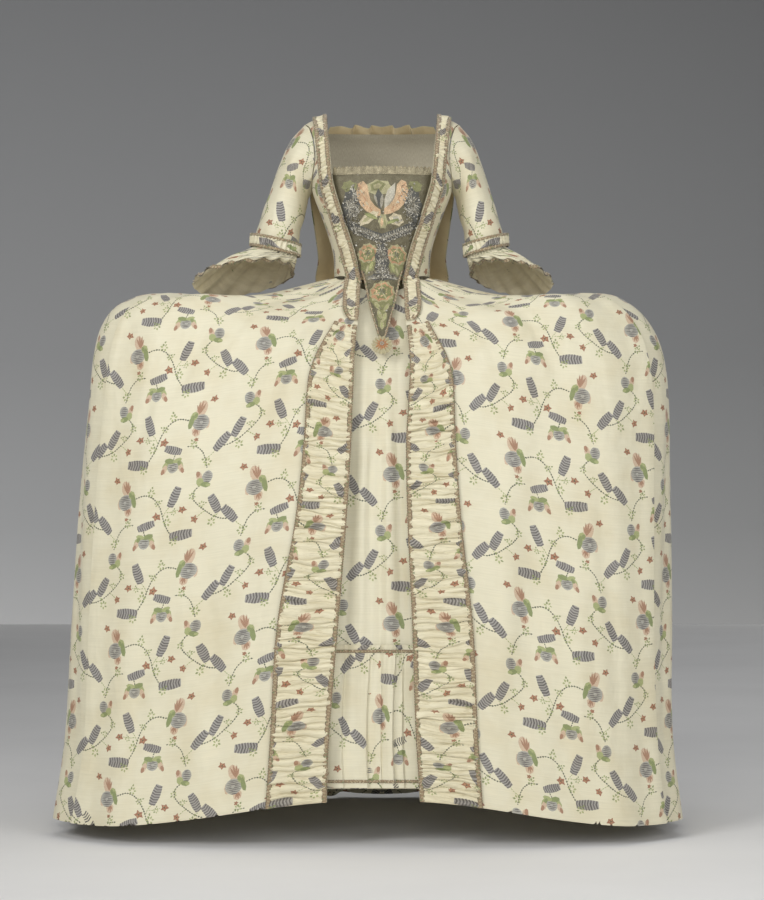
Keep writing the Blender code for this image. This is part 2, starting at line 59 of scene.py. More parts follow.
Ring = namedtuple("Ring", "right left front back side_height front_height back_height")
SKIRT = {
    "waist": Ring(0.112, 0.112, 0.100, 0.105, 1.128, 1.105, 1.140),
    "rise": Ring(0.250, 0.240, 0.140, 0.172, 1.095, 1.056, 1.104),
    "top": Ring(0.380, 0.360, 0.165, 0.195, 1.091, 1.018, 1.078),
    "hump": Ring(0.478, 0.459, 0.182, 0.212, 1.094, 0.985, 1.054),
    "brow": Ring(0.538, 0.509, 0.195, 0.226, 1.074, 0.952, 1.026),
    "corner": Ring(0.572, 0.549, 0.206, 0.238, 1.034, 0.912, 0.985),
    "hip": Ring(0.590, 0.576, 0.218, 0.252, 0.972, 0.862, 0.925),
    "thigh": Ring(0.602, 0.588, 0.232, 0.272, 0.870, 0.780, 0.830),
    "knee": Ring(0.619, 0.588, 0.248, 0.305, 0.680, 0.630, 0.650),
    "calf": Ring(0.633, 0.587, 0.261, 0.350, 0.430, 0.430, 0.410),
    "ankle": Ring(0.642, 0.593, 0.270, 0.405, 0.200, 0.235, 0.180),
    "hem": Ring(0.668, 0.612, 0.277, 0.462, 0.034, 0.094, 0.006),
}
BODICE = {
    "waist": Ring(0.098, 0.098, 0.101, 0.086, 1.134, 1.111, 1.147),
    "ribs": Ring(0.101, 0.101, 0.108, 0.090, 1.185, 1.180, 1.190),
    "midriff": Ring(0.119, 0.119, 0.118, 0.098, 1.245, 1.245, 1.245),
    "underarm": Ring(0.143, 0.143, 0.127, 0.104, 1.310, 1.310, 1.310),
    "bust": Ring(0.149, 0.149, 0.126, 0.106, 1.335, 1.335, 1.335),
    "chest": Ring(0.157, 0.157, 0.114, 0.104, 1.372, 1.372, 1.372),
    "collar": Ring(0.172, 0.172, 0.084, 0.088, 1.412, 1.412, 1.412),
    "nape": Ring(0.186, 0.186, 0.053, 0.060, 1.438, 1.438, 1.438),
    "crest": Ring(0.198, 0.198, 0.024, 0.028, 1.458, 1.458, 1.458),
}
FrontEdge = namedtuple("FrontEdge", "ring inner outer robing")
FRONT_EDGES = [
    FrontEdge("waist", 0.041, 0.098, 0.034),
    FrontEdge("ribs", 0.055, 0.101, 0.035),
    FrontEdge("midriff", 0.075, 0.119, 0.035),
    FrontEdge("underarm", 0.095, 0.143, 0.033),
    FrontEdge("bust", 0.100, 0.141, 0.031),
    FrontEdge("chest", 0.104, 0.135, 0.029),
    FrontEdge("collar", 0.108, 0.139, 0.028),
    FrontEdge("nape", 0.111, 0.147, 0.028),
    FrontEdge("crest", 0.113, 0.156, 0.029),
]
STRAP_TOP = 1.4655
STRAP_FALL = {"top": 0.016, "crest": 0.010}
SkirtEdge = namedtuple("SkirtEdge", "ring right left trim_right trim_left")
SKIRT_EDGES = [
    SkirtEdge("waist", 0.044, 0.044, 0.074, 0.074),
    SkirtEdge("rise", 0.046, 0.046, 0.084, 0.084),
    SkirtEdge("top", 0.050, 0.050, 0.100, 0.098),
    SkirtEdge("hump", 0.053, 0.053, 0.118, 0.114),
    SkirtEdge("brow", 0.055, 0.055, 0.134, 0.130),
    SkirtEdge("corner", 0.056, 0.054, 0.147, 0.142),
    SkirtEdge("hip", 0.058, 0.051, 0.152, 0.145),
    SkirtEdge("thigh", 0.061, 0.047, 0.156, 0.147),
    SkirtEdge("knee", 0.070, 0.050, 0.172, 0.157),
    SkirtEdge("calf", 0.086, 0.059, 0.207, 0.179),
    SkirtEdge("ankle", 0.102, 0.065, 0.219, 0.188),
    SkirtEdge("hem", 0.108, 0.074, 0.229, 0.198),
]
TRIM_FROM = 2.0
SIDE_SEAM = 0.925
BACK_SEAM = {
    "waist": 0.088, "rise": 0.142, "top": 0.178, "hump": 0.212, "brow": 0.242, "corner": 0.268,
    "hip": 0.290, "thigh": 0.312, "knee": 0.335, "calf": 0.368, "ankle": 0.402, "hem": 0.435,
}
Fold = namedtuple("Fold", "place out")
FRONT_FOLDS = [
    Fold(0.00, 0.0), Fold(0.14, 0.0), Fold(0.28, 0.0), Fold(0.45, 0.004), Fold(0.62, -0.003),
    Fold(0.78, 0.005), Fold(0.92, -0.002), Fold(1.00, 0.003),
]
SIDE_FOLDS = [
    Fold(0.00, -0.002), Fold(0.12, 0.004), Fold(0.24, -0.006), Fold(0.38, 0.008), Fold(0.42, -0.004),
    Fold(0.56, 0.009), Fold(0.62, -0.005), Fold(0.80, 0.005), Fold(1.00, -0.002),
]
SACK_FOLDS = [
    Fold(0.00, 0.004), Fold(0.20, 0.012), Fold(0.25, -0.004), Fold(0.52, 0.014), Fold(0.58, -0.005),
    Fold(0.80, 0.006), Fold(1.00, 0.000),
]
FOLD_DEPTH = [0.4, 0.7, 0.9, 1.0, 1.0, 1.0, 1.0, 0.9, 0.9, 1.0, 1.2, 1.4]
SackRow = namedtuple("SackRow", "height half_width centre edge folds")
SACK = [
    SackRow(1.452, 0.108, 0.056, 0.046, 0.5),
    SackRow(1.412, 0.132, 0.106, 0.086, 0.6),
    SackRow(1.365, 0.146, 0.124, 0.096, 0.8),
    SackRow(1.310, 0.150, 0.132, 0.078, 0.9),
    SackRow(1.240, 0.140, 0.142, 0.084, 0.9),
    SackRow(1.180, 0.132, 0.152, 0.098, 0.9),
    SackRow(1.132, 0.136, 0.166, 0.124, 0.8),
]
Tube = namedtuple("Tube", "outer_right outer_left outer_height inner inner_height centre depth")
SLEEVE = [
    Tube(0.190, 0.187, 1.414, 0.151, 1.299, -0.001, 0.066),
    Tube(0.214, 0.208, 1.360, 0.154, 1.284, -0.004, 0.061),
    Tube(0.230, 0.223, 1.313, 0.159, 1.262, -0.008, 0.056),
    Tube(0.248, 0.238, 1.262, 0.167, 1.228, -0.016, 0.051),
    Tube(0.262, 0.251, 1.212, 0.176, 1.190, -0.026, 0.048),
]
CUFF = [
    Tube(0.2680, 0.2570, 1.224, 0.1680, 1.202, -0.025, 0.0545),
    Tube(0.2700, 0.2590, 1.211, 0.1680, 1.188, -0.026, 0.0555),
    Tube(0.2690, 0.2580, 1.199, 0.1700, 1.176, -0.027, 0.0540),
]
FLOUNCE = [
    Tube(0.2620, 0.2510, 1.2095, 0.1760, 1.1875, -0.026, 0.048),
    Tube(0.2635, 0.2525, 1.1960, 0.1758, 1.1730, -0.027, 0.049),
    Tube(0.3120, 0.2880, 1.1740, 0.1770, 1.1640, -0.020, 0.070),
    Tube(0.3520, 0.3220, 1.1460, 0.1800, 1.1560, -0.010, 0.088),
    Tube(0.3900, 0.3520, 1.1190, 0.1840, 1.1500, 0.000, 0.094),
]
FLOUNCE_RISE = 0.028
StomacherRow = namedtuple("StomacherRow", "height half_width centre edge")
STOMACHER = [
    StomacherRow(1.340, 0.1060, 0.1200, 0.0960),
    StomacherRow(1.290, 0.0960, 0.1180, 0.0990),
    StomacherRow(1.240, 0.0800, 0.1120, 0.0975),
    StomacherRow(1.180, 0.0590, 0.1040, 0.0950),
    StomacherRow(1.130, 0.0380, 0.1000, 0.0965),
    StomacherRow(1.080, 0.0270, 0.1235, 0.1225),
    StomacherRow(1.040, 0.0160, 0.1510, 0.1505),
    StomacherRow(1.006, 0.0060, 0.1740, 0.1738),
]
PETTICOAT_INSET = [
    0.006, 0.011, 0.014, 0.015, 0.015, 0.015, 0.015, 0.016, 0.020, 0.024, 0.026, 0.026,
]
PETTICOAT_HEM = 0.114
PETTICOAT_SEAM = 0.300
FLOUNCE_HEADING = 0.392
FLOUNCE_END = 0.122


# ---------------------------------------------------------------------------------------------------
# Rings, lines and grids
# ---------------------------------------------------------------------------------------------------
def smooth_step(value):
    value = np.clip(value, 0, 1)
    return value * value * (3 - 2 * value)


def smooth_rows(rows, places):
    """Rows between the rows of a table, on a smooth curve; a place counts rows from 0."""
    rows = np.asarray(rows, float)
    places = np.atleast_1d(np.asarray(places, float))
    padded = np.concatenate([[2 * rows[0] - rows[1]], rows, [2 * rows[-1] - rows[-2]]])
    first = np.clip(np.floor(places).astype(int), 0, len(rows) - 2)
    share = (places - first).reshape(-1, *[1] * (rows.ndim - 1))
    a, b, c, d = (padded[first + step] for step in range(4))
    return b + 0.5 * share * (
        c - a + share * (2 * a - 5 * b + 4 * c - d + share * (3 * (b - c) + d - a))
    )


def half_ring(ring, side, inset=0.0):
    """One half of a ring as many points, from the centre front round to the centre back."""
    angle = np.linspace(-math.pi / 2, math.pi / 2, RING_POINTS)
    front = angle < 0
    power = 2 / np.where(front, FRONT_SQUARENESS, BACK_SQUARENESS)
    width = (ring.left if side == LEFT else ring.right) - inset
    depth = np.where(front, ring.front, ring.back) - inset
    across = np.clip(np.cos(angle), 0, 1) ** power
    along = np.sign(angle) * np.abs(np.sin(angle)) ** power
    end_height = np.where(front, ring.front_height, ring.back_height)
    height = end_height + (ring.side_height - end_height) * smooth_step((across - 0.05) / 0.85)
    return np.column_stack([side * width * across, depth * along, height - SHOULDER_HEIGHT])


def arcs(points):
    steps = np.linalg.norm(np.diff(points, axis=0), axis=1)
    return np.concatenate([[0], np.cumsum(steps)])


def arc_in_front(points, distance):
    half = RING_POINTS // 2 + 1
    return np.interp(distance, np.abs(points[:half, 0]), arcs(points)[:half])


def arc_behind(points, distance):
    half = RING_POINTS // 2
    return np.interp(-distance, -np.abs(points[half:, 0]), arcs(points)[half:])


def along_line(points, places):
    lengths = arcs(points)
    return np.column_stack([np.interp(places, lengths, points[:, axis]) for axis in range(3)])


def stretch(points, first, last, shares):
    return along_line(points, first + (last - first) * np.asarray(shares))


def normals_of(grid, outward, tube=False):
    """Unit normals of a grid. A tube's last column repeats its first."""
    if tube:
        closed = np.concatenate([grid[:, -2:-1], grid, grid[:, 1:2]], axis=1)
        across = np.gradient(closed, axis=1)[:, 1:-1]
    else:
        across = np.gradient(grid, axis=1)
    normal = np.cross(across, np.gradient(grid, axis=0)) * outward
    return normal / np.maximum(np.linalg.norm(normal, axis=2, keepdims=True), 1e-9)


def lifted(grid, outward, distance, tube=False):
    distance = np.asarray(distance, float)
    if distance.ndim == 2:
        distance = distance[:, :, None]
    return grid + normals_of(grid, outward, tube) * distance


def fold_outs(folds, shares):
    """How far the cloth stands out at each share of a panel's width, rounded between the folds."""
    places = np.array([fold.place for fold in folds])
    outs = np.array([fold.out for fold in folds])
    index = np.clip(np.searchsorted(places, shares, side="right") - 1, 0, len(folds) - 2)
    share = (shares - places[index]) / (places[index + 1] - places[index])
    return outs[index] + (outs[index + 1] - outs[index]) * smooth_step(share)


def flat_map(grid, across_from=0, gather=(1.0, 1.0), offset=(0.0, 0.0)):
    """Where each point of a grid lies on the flat cloth: across along its row, up along its column."""
    across = np.linalg.norm(np.diff(grid, axis=1), axis=2)
    across = np.concatenate([np.zeros((len(grid), 1)), np.cumsum(across, axis=1)], axis=1)
    across -= across[:, across_from : across_from + 1] if across_from >= 0 else across[:, -1:]
    down = np.linalg.norm(np.diff(grid, axis=0), axis=2)
    down = np.concatenate([np.zeros((1, grid.shape[1])), np.cumsum(down, axis=0)])
    return np.stack([
        across * gather[0] + offset[0],
        (down[-1:] - down) * gather[1] + offset[1],
    ], axis=2)


Crease = namedtuple("Crease", "across up length width depth lean")


def creased(grid, outward, flat, creases):
    """Adds soft troughs and ridges: places and sizes on the flat cloth, in metres; a lean turns one."""
    out = np.zeros(grid.shape[:2])
    for crease in creases:
        along = flat[..., 1] - crease.up
        across = flat[..., 0] - crease.across - crease.lean * along
        fade = np.exp(-((along / crease.length) ** 4))
        out += 1.45 * crease.depth * fade * np.exp(-((across / crease.width) ** 2))
    return lifted(grid, outward, out)


# ---------------------------------------------------------------------------------------------------
# The brocade: one half of the repeat, drawn in millimetres. The other half is its mirror image.
# ---------------------------------------------------------------------------------------------------
REPEAT = (0.265, 0.294)
DYES = {
    "ground": (0.700, 0.652, 0.482),
    "feather": (0.350, 0.332, 0.312),
    "slate": (0.165, 0.152, 0.142),
    "pearl": (0.400, 0.390, 0.345),
    "salmon": (0.380, 0.220, 0.140),
    "blush": (0.600, 0.455, 0.330),
    "green": (0.250, 0.290, 0.125),
    "leaf": (0.375, 0.405, 0.190),
    "stem": (0.110, 0.120, 0.075),
    "slat": (0.130, 0.120, 0.110),
    "red": (0.330, 0.155, 0.092),
    "orange": (0.440, 0.250, 0.140),
}


def oval(x, y, across, up, turn=0.0, points=7):
    angle = np.arange(points) * 2 * math.pi / points
    shape = np.column_stack([across * np.cos(angle), up * np.sin(angle)])
    return turned(shape, turn) + (x, y)


def blade(x, y, turn, length, width):
    """A narrow petal stripe from a point, along a direction."""
    shape = np.array([
        (0, 0), (0.3, 0.42), (0.65, 0.5), (1, 0.0), (0.6, -0.5), (0.25, -0.38),
    ]) * (length, width)
    return turned(shape, turn) + (x, y)


def turned(shape, degrees):
    angle = math.radians(degrees)
    matrix = np.array([[math.cos(angle), math.sin(angle)], [-math.sin(angle), math.cos(angle)]])
    return np.asarray(shape, float) @ matrix


def flower():
    """The large striped flower, its stem joining at the left."""
    shapes = [("blush", oval(3, 19, 8.5, 14, -14, 12)), ("blush", oval(0, -18, 7.5, 9, 12))]
    for turn, length in ((112, 17), (97, 22), (82, 24), (66, 21)):
        shapes.append(("salmon", blade(0, 10, turn, length, 3.2)))
    for turn, length in ((-118, 11), (-96, 14), (-74, 12)):
        shapes.append(("salmon", blade(0, -12, turn, length, 3.0)))
    shapes.append(("blush", oval(16, -4, 4.5, 10, 8)))
    shapes.append(("pearl", oval(5, -3, 14, 13, points=14)))
    for up, left, length in (
        (8, -3, 16), (5, -6, 22), (2, -7, 25), (-1, -8, 26), (-4, -8, 26), (-7, -7, 24), (-10, -5, 20),
        (-13, 0, 12),
    ):
        shapes.append(("slate", blade(left, up - 2, 3, length, 2.0)))
    shapes.append(("pearl", oval(6, -3, 3.2, 2.6)))
    shapes.append(("leaf", oval(-8, 7, 6, 8, -20)))
    shapes.append(("green", oval(-11, -3, 4.5, 12, -8)))
    shapes.append(("green", oval(-5, 8, 3, 4.5, -30)))
    return shapes


def drooping_bud():
    """The bud that hangs from a feather, its stem joining at the top."""
    shapes = []
    for side in (-1, 1):
        shapes.append(("leaf", oval(side * 11, 0, 6, 9, side * 30)))
        shapes.append(("blush", oval(side * 14, -6, 4.5, 8, side * 22)))
        shapes.append(("salmon", oval(side * 16.5, -10, 3, 5, side * 20)))
    shapes.append(("pearl", oval(0, -3, 9.5, 10, points=12)))
    for up, length in ((4, 14), (1, 17), (-2, 18), (-5, 16), (-8, 12)):
        shapes.append(("slate", blade(-length / 2, up - 1, 2, length, 1.9)))
    shapes.append(("pearl", oval(1, -3, 2.8, 2.4)))
    shapes.append(("green", oval(-6, 7, 9, 4.5, -12)))
    shapes.append(("leaf", oval(7, 7, 8, 4, 14)))
    shapes.append(("green", oval(10, 3, 3, 4.5, 30)))
    return shapes


def hooked_bud():
    shapes = [("blush", oval(9, 6, 5.0, 9, -16)), ("salmon", oval(11, 10, 3.2, 5, -10))]
    shapes.append(("pearl", oval(-4, 4, 8.5, 10, 8, 12)))
    for up, length in ((11, 9), (8, 14), (5, 16), (2, 16), (-1, 15), (-4, 11)):
        shapes.append(("slate", blade(-4 - length / 2, up, 3, length, 1.8)))
    shapes.append(("leaf", oval(7, -3, 6, 7, -20)))
    shapes.append(("green", oval(-2, -8, 8, 4.5, 12)))
    shapes.append(("leaf", oval(-6, -9, 4, 2.4, 10)))
    return shapes


def feather(length=42.0, slats=8):
    """A leaf of dark bent slats on a grey ground, from its stalk along +X."""
    along = np.linspace(0, 1, 6)
    reach = 0.62 + 0.38 * np.sin(math.pi * (0.08 + 0.84 * along))
    upper = np.column_stack([along * length + 1.5, 10.6 * reach])
    lower = np.column_stack([along * length + 1.5, -8.1 * reach])
    shapes = [("feather", np.concatenate([lower, upper[::-1]]))]
    for slat in range(slats):
        start, end = (np.array([slat, slat + 0.50]) + 0.12) * length / slats
        reach = 0.62 + 0.38 * math.sin(math.pi * (0.08 + 0.84 * (slat + 0.5) / slats))
        shapes.append(("slat" if slat % 3 else "slate", np.array([
            (start, 0), (start + 2.6, -8.5 * reach), (end + 2.4, -8.1 * reach), (end, 0),
            (end + 2.4, 10.5 * reach), (start + 2.6, 11.0 * reach),
        ])))
    return shapes


def small_flower():
    """A rosette of rounded petals."""
    angle = np.arange(10) * 2 * math.pi / 10
    reach = np.choose(np.arange(10) % 2, (5.4, 9.4)) * np.repeat((1.0, 0.82, 1.08, 0.9, 1.0), 2)
    petals = np.column_stack([reach * np.cos(angle), reach * np.sin(angle)])
    return [
        ("red", petals), ("orange", oval(2.6, 2.2, 2.6, 1.6, 30, 6)),
        ("orange", oval(-3, 1.6, 2.4, 1.5, -40, 6)),
        ("orange", oval(0.5, -3.4, 2.6, 1.5, 10, 6)), ("stem", oval(0, 0, 1.6, 1.6, points=5)),
    ]


def leaflet(x, y, turn, length, width):
    return turned(np.array([(0, 0), (0.45, 0.5), (1, 0.05), (0.5, -0.45)]) * (length, width), turn) + (x, y)


def sprig():
    shapes = []
    for turn, reach, length in (
        (0, 2, 7), (55, 2.5, 6.5), (110, 2, 7), (170, 3, 6), (230, 2.5, 6.5), (295, 2.5, 6.5), (85, 8, 6),
    ):
        start = turned([(reach, 0)], turn)[0]
        shapes.append(("green" if turn % 2 else "leaf", leaflet(*start, turn + 12, length, 4.4)))
    return shapes


def beads(points, dye="stem", every=5.4, length=5.5, width=2.5):
    """A beaded stem through a few points."""
    line = smooth_rows(points, np.linspace(0, len(points) - 1, 60))
    steps = np.concatenate([[0], np.cumsum(np.hypot(*np.diff(line, axis=0).T))])
    shapes = []
    for place in np.arange(every / 2, steps[-1], every):
        ends = [np.array([np.interp(place + half, steps, line[:, axis]) for axis in (0, 1)])
                for half in (-length / 2, length / 2)]
        along = ends[1] - ends[0]
        out = np.array([-along[1], along[0]]) / max(np.hypot(*along), 1e-6) * width / 2
        middle = (ends[0] + ends[1]) / 2
        shapes.append((dye, np.array([ends[0], middle - out, ends[1], middle + out])))
    return shapes


Motif = namedtuple("Motif", "draw x y turn size")
HALF_REPEAT = [
    Motif(flower, 200, 88, -6, 1.22),
    Motif(drooping_bud, 156, 4, 0, 1.22),
    Motif(hooked_bud, 42, 114, 0, 1.25),
    Motif(feather, 110, 67, 112, 0.98),
    Motif(feather, 173, 29, 163, 0.86),
    Motif(feather, 9, 44, 62, 0.95),
    Motif(feather, 106, 9, 176, 1.10),
    Motif(feather, 238, 22, 48, 0.98),
    Motif(small_flower, 82, 60, 10, 1.00),
    Motif(small_flower, 134, 51, 40, 1.08),
    Motif(small_flower, 56, 38, 70, 0.92),
    Motif(small_flower, 230, 128, 25, 0.95),
    Motif(small_flower, 200, 50, 0, 0.55),
    Motif(sprig, 149, 99, 10, 1.00),
    Motif(sprig, 134, 77, 60, 0.85),
    Motif(sprig, 112, 38, 0, 1.05),
    Motif(sprig, 96, -2, 40, 1.00),
    Motif(sprig, 64, 84, 20, 0.90),
    Motif(sprig, 44, 66, 80, 0.80),
    Motif(sprig, 22, 28, 30, 1.05),
    Motif(sprig, 196, 40, 30, 0.95),
    Motif(sprig, 226, 2, 60, 1.05),
    Motif(sprig, 100, 56, 15, 0.70),
]
Stem = namedtuple("Stem", "dye width points")
HALF_STEMS = [
    Stem("stem", 3.4, [(182, 90), (162, 95), (144, 88), (131, 72), (123, 54), (117, 36), (108, 20), (98, 4)]),
    Stem("leaf", 2.3, [(121, 50), (116, 60), (110, 67)]),
    Stem("leaf", 2.3, [(115, 58), (102, 57), (90, 60)]),
    Stem("stem", 3.4, [(50, 104), (60, 94), (62, 80), (52, 66), (36, 52), (20, 40), (2, 32), (-12, 30)]),
    Stem("leaf", 2.3, [(20, 40), (14, 40), (9, 44)]),
    Stem("leaf", 2.3, [(36, 52), (46, 46), (52, 41)]),
    Stem("stem", 2.8, [(156, 14), (158, 22), (165, 30)]),
    Stem("stem", 3.1, [(182, 38), (200, 36), (214, 24), (221, 8), (226, -10)]),
    Stem("leaf", 2.3, [(221, 8), (230, 14), (238, 22)]),
    Stem("leaf", 2.3, [(192, 40), (198, 46), (200, 50)]),
]


def half_repeat():
    shapes = []
    for stem in HALF_STEMS:
        shapes += beads(stem.points, stem.dye, width=stem.width)
    for motif in HALF_REPEAT:
        for dye, shape in motif.draw():
            shapes.append((dye, turned(shape * motif.size, motif.turn) + (motif.x, motif.y)))
    return [(dye, shape * MM) for dye, shape in shapes]


HALF = half_repeat()
WOBBLE = 0.0005  # how far an outline strays, so that no two motifs are quite alike


def brocade_shapes(low, high, seed):
    """The pattern over a rectangle of flat cloth: outlines with their dyes, in drawing order."""
    random = np.random.default_rng(seed)
    shapes = []
    first = np.floor(np.array(low) / REPEAT).astype(int) - 1
    last = np.ceil(np.array(high) / REPEAT).astype(int) + 1
    for column in range(first[0], last[0]):
        for row in range(first[1], last[1]):
            for mirrored in (False, True):
                for dye, shape in HALF:
                    x, y = shape.T
                    if mirrored:
                        x, y = REPEAT[0] - x, y + REPEAT[1] / 2
                    placed = np.column_stack([x + column * REPEAT[0], y + row * REPEAT[1]])
                    if (placed.max(0) < low).any() or (placed.min(0) > high).any():
                        continue
                    shapes.append((dye, placed + random.normal(0, WOBBLE / 2, placed.shape)))
    return shapes


# ---------------------------------------------------------------------------------------------------
# Cutting a pattern into a panel
# ---------------------------------------------------------------------------------------------------
def bilinear(values, column, row):
    rows, columns = values.shape[:2]
    c = np.clip(np.floor(column).astype(int), 0, columns - 2)
    r = np.clip(np.floor(row).astype(int), 0, rows - 2)
    fc = (column - c)[:, None]
    fr = (row - r)[:, None]
    return (
        values[r, c] * (1 - fc) * (1 - fr) + values[r, c + 1] * fc * (1 - fr)
        + values[r + 1, c] * (1 - fc) * fr + values[r + 1, c + 1] * fc * fr
    )


def places_on(flat, points, guess):
    """The (column, row) places on a grid that lie at points of the flat cloth, by Newton's method."""
    place = guess.copy()
    rows, columns = flat.shape[:2]
    for _ in range(12):
        here = bilinear(flat, place[:, 0], place[:, 1])
        step = 0.5
        by_column = bilinear(flat, place[:, 0] + step, place[:, 1]) - here
        by_row = bilinear(flat, place[:, 0], place[:, 1] + step) - here
        miss = (points - here) * step
        cross = by_column[:, 0] * by_row[:, 1] - by_column[:, 1] * by_row[:, 0]
        cross = np.where(np.abs(cross) < 1e-12, 1e-12, cross)
        move = np.column_stack([
            (miss[:, 0] * by_row[:, 1] - miss[:, 1] * by_row[:, 0]) / cross,
            (miss[:, 1] * by_column[:, 0] - miss[:, 0] * by_column[:, 1]) / cross,
        ])
        place += np.clip(move, -8, 8)
        place[:, 0] = np.clip(place[:, 0], -12, columns + 11)
        place[:, 1] = np.clip(place[:, 1], -12, rows + 11)
    miss = np.linalg.norm(bilinear(flat, place[:, 0], place[:, 1]) - points, axis=1)
    return place, miss < 0.0015


def shapes_on_grid(flat, shapes):
    """Outlines on the flat cloth moved into the grid's own (column, row) space."""
    step = max(1, min(flat.shape[:2]) // 24)
    nodes = flat[::step, ::step].reshape(-1, 2)
    index = np.stack(np.meshgrid(
        np.arange(0, flat.shape[1], step), np.arange(0, flat.shape[0], step)), axis=2).reshape(-1, 2)
    centres = np.array([shape.mean(0) for _, shape in shapes])
    nearest = np.empty(len(centres), int)
    for start in range(0, len(centres), 400):
        part = centres[start : start + 400]
        nearest[start : start + 400] = ((part[:, None] - nodes[None]) ** 2).sum(2).argmin(1)
    sizes = [len(shape) for _, shape in shapes]
    points = np.concatenate([shape for _, shape in shapes])
    guess = np.repeat(index[nearest].astype(float), sizes, axis=0)
    place, good = places_on(flat, points, guess)
    placed = []
    start = 0
    for (dye, _), size in zip(shapes, sizes):
        part = place[start : start + size]
        if good[start : start + size].all():
            inside = (part > -0.5).all(1) & (part < (flat.shape[1] - 0.5, flat.shape[0] - 0.5)).all(1)
            if inside.any():
                after = np.roll(part, -1, axis=0)
                turns = (part[:, 0] * after[:, 1] - part[:, 1] * after[:, 0]).sum()
                placed.append((dye, part if turns > 0 else part[::-1]))
        start += size
    return placed


def set_colours(mesh, colours):
    """colours is one (r, g, b, mask) for each face corner."""
    layer = mesh.color_attributes.new("dye", "FLOAT_COLOR", "CORNER")
    layer.data.foreach_set("color", np.asarray(colours, np.float32).ravel())


def new_piece(name, mesh, material, *nodes, slot="brocaded_silk", smooth=True):
    mesh.materials.append(material)
    if smooth:
        mesh.shade_smooth()
    piece = bpy.data.objects.new(name, mesh)
    bpy.context.scene.collection.objects.link(piece)
    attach(piece, "root")
    if nodes:
        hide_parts(*nodes)
    return piece


TILE = 16  # cells


def inside_outline(shape, points):
    """Which points lie inside an outline, by counting its edges to their right."""
    after = np.roll(shape, -1, axis=0)
    x, y = points[:, :1], points[:, 1:]
    crossing = (shape[:, 1] > y) != (after[:, 1] > y)
    rise = np.where(after[:, 1] == shape[:, 1], 1e-12, after[:, 1] - shape[:, 1])
    where = shape[:, 0] + (y - shape[:, 1]) * (after[:, 0] - shape[:, 0]) / rise
    return (crossing & (x < where)).sum(1) % 2 == 1


def cut_in_tiles(rows, columns, placed, scale):
    """A grid's cells cut along outlines in (column, row) space, in tiles so that each cut is quick.

    Returns the points, the triangles, and for each triangle the last outline that covers it, or -1.
    """
    lows = np.array([shape.min(0) for _, shape in placed]).reshape(-1, 2)
    highs = np.array([shape.max(0) for _, shape in placed]).reshape(-1, 2)
    all_places = []
    all_triangles = []
    drawn = []
    count = 0
    for first_row in range(0, rows - 1, TILE):
        last_row = min(rows - 1, first_row + TILE)
        for first_column in range(0, columns - 1, TILE):
            last_column = min(columns - 1, first_column + TILE)
            low = np.array([first_column, first_row])
            high = np.array([last_column, last_row])
            column, row = np.meshgrid(np.arange(low[0], high[0] + 1), np.arange(low[1], high[1] + 1))
            points = [np.column_stack([column.ravel(), row.ravel()]).astype(float)]
            node = np.arange(column.size).reshape(column.shape)
            edges = []
            for line in (node[0], node[-1], node[:, 0], node[:, -1]):
                edges += list(zip(line[:-1].tolist(), line[1:].tolist()))
            here = np.flatnonzero((highs > low).all(1) & (lows < high).all(1)) if len(placed) else []
            faces = []
            size = column.size
            for index in here:
                shape = placed[index][1]
                faces.append(list(range(size, size + len(shape))))
                points.append(shape)
                size += len(shape)
            points = np.concatenate(points) * scale
            made = delaunay_2d_cdt([Vector(point) for point in points.tolist()], edges, faces, 0, 1e-6, False)
            places = np.array([tuple(point) for point in made[0]]) / scale
            triangles = np.array([tuple(face) for face in made[2]])
            middles = places[triangles].mean(1)
            corner = places[triangles]
            area = np.abs(np.cross(corner[:, 1] - corner[:, 0], corner[:, 2] - corner[:, 0]))
            keep = ((middles > low) & (middles < high)).all(1) & (area > 1e-9)
            cover = np.full(len(triangles), -1)
            for index in here:
                near = np.flatnonzero(((middles > lows[index]) & (middles < highs[index])).all(1))
                cover[near[inside_outline(placed[index][1], middles[near])]] = index
            drawn.append(cover[keep])
            all_places.append(places)
            all_triangles.append(triangles[keep] + count)
            count += len(places)
    places = np.concatenate(all_places)
    rounded, joined = np.unique(np.round(places, 4), axis=0, return_inverse=True)
    triangles = joined.reshape(-1)[np.concatenate(all_triangles)]
    drawn = np.concatenate(drawn)
    whole = (triangles[:, 0] != triangles[:, 1]) & (triangles[:, 1] != triangles[:, 2]) & (
        triangles[:, 0] != triangles[:, 2])
    return rounded, triangles[whole], drawn[whole]


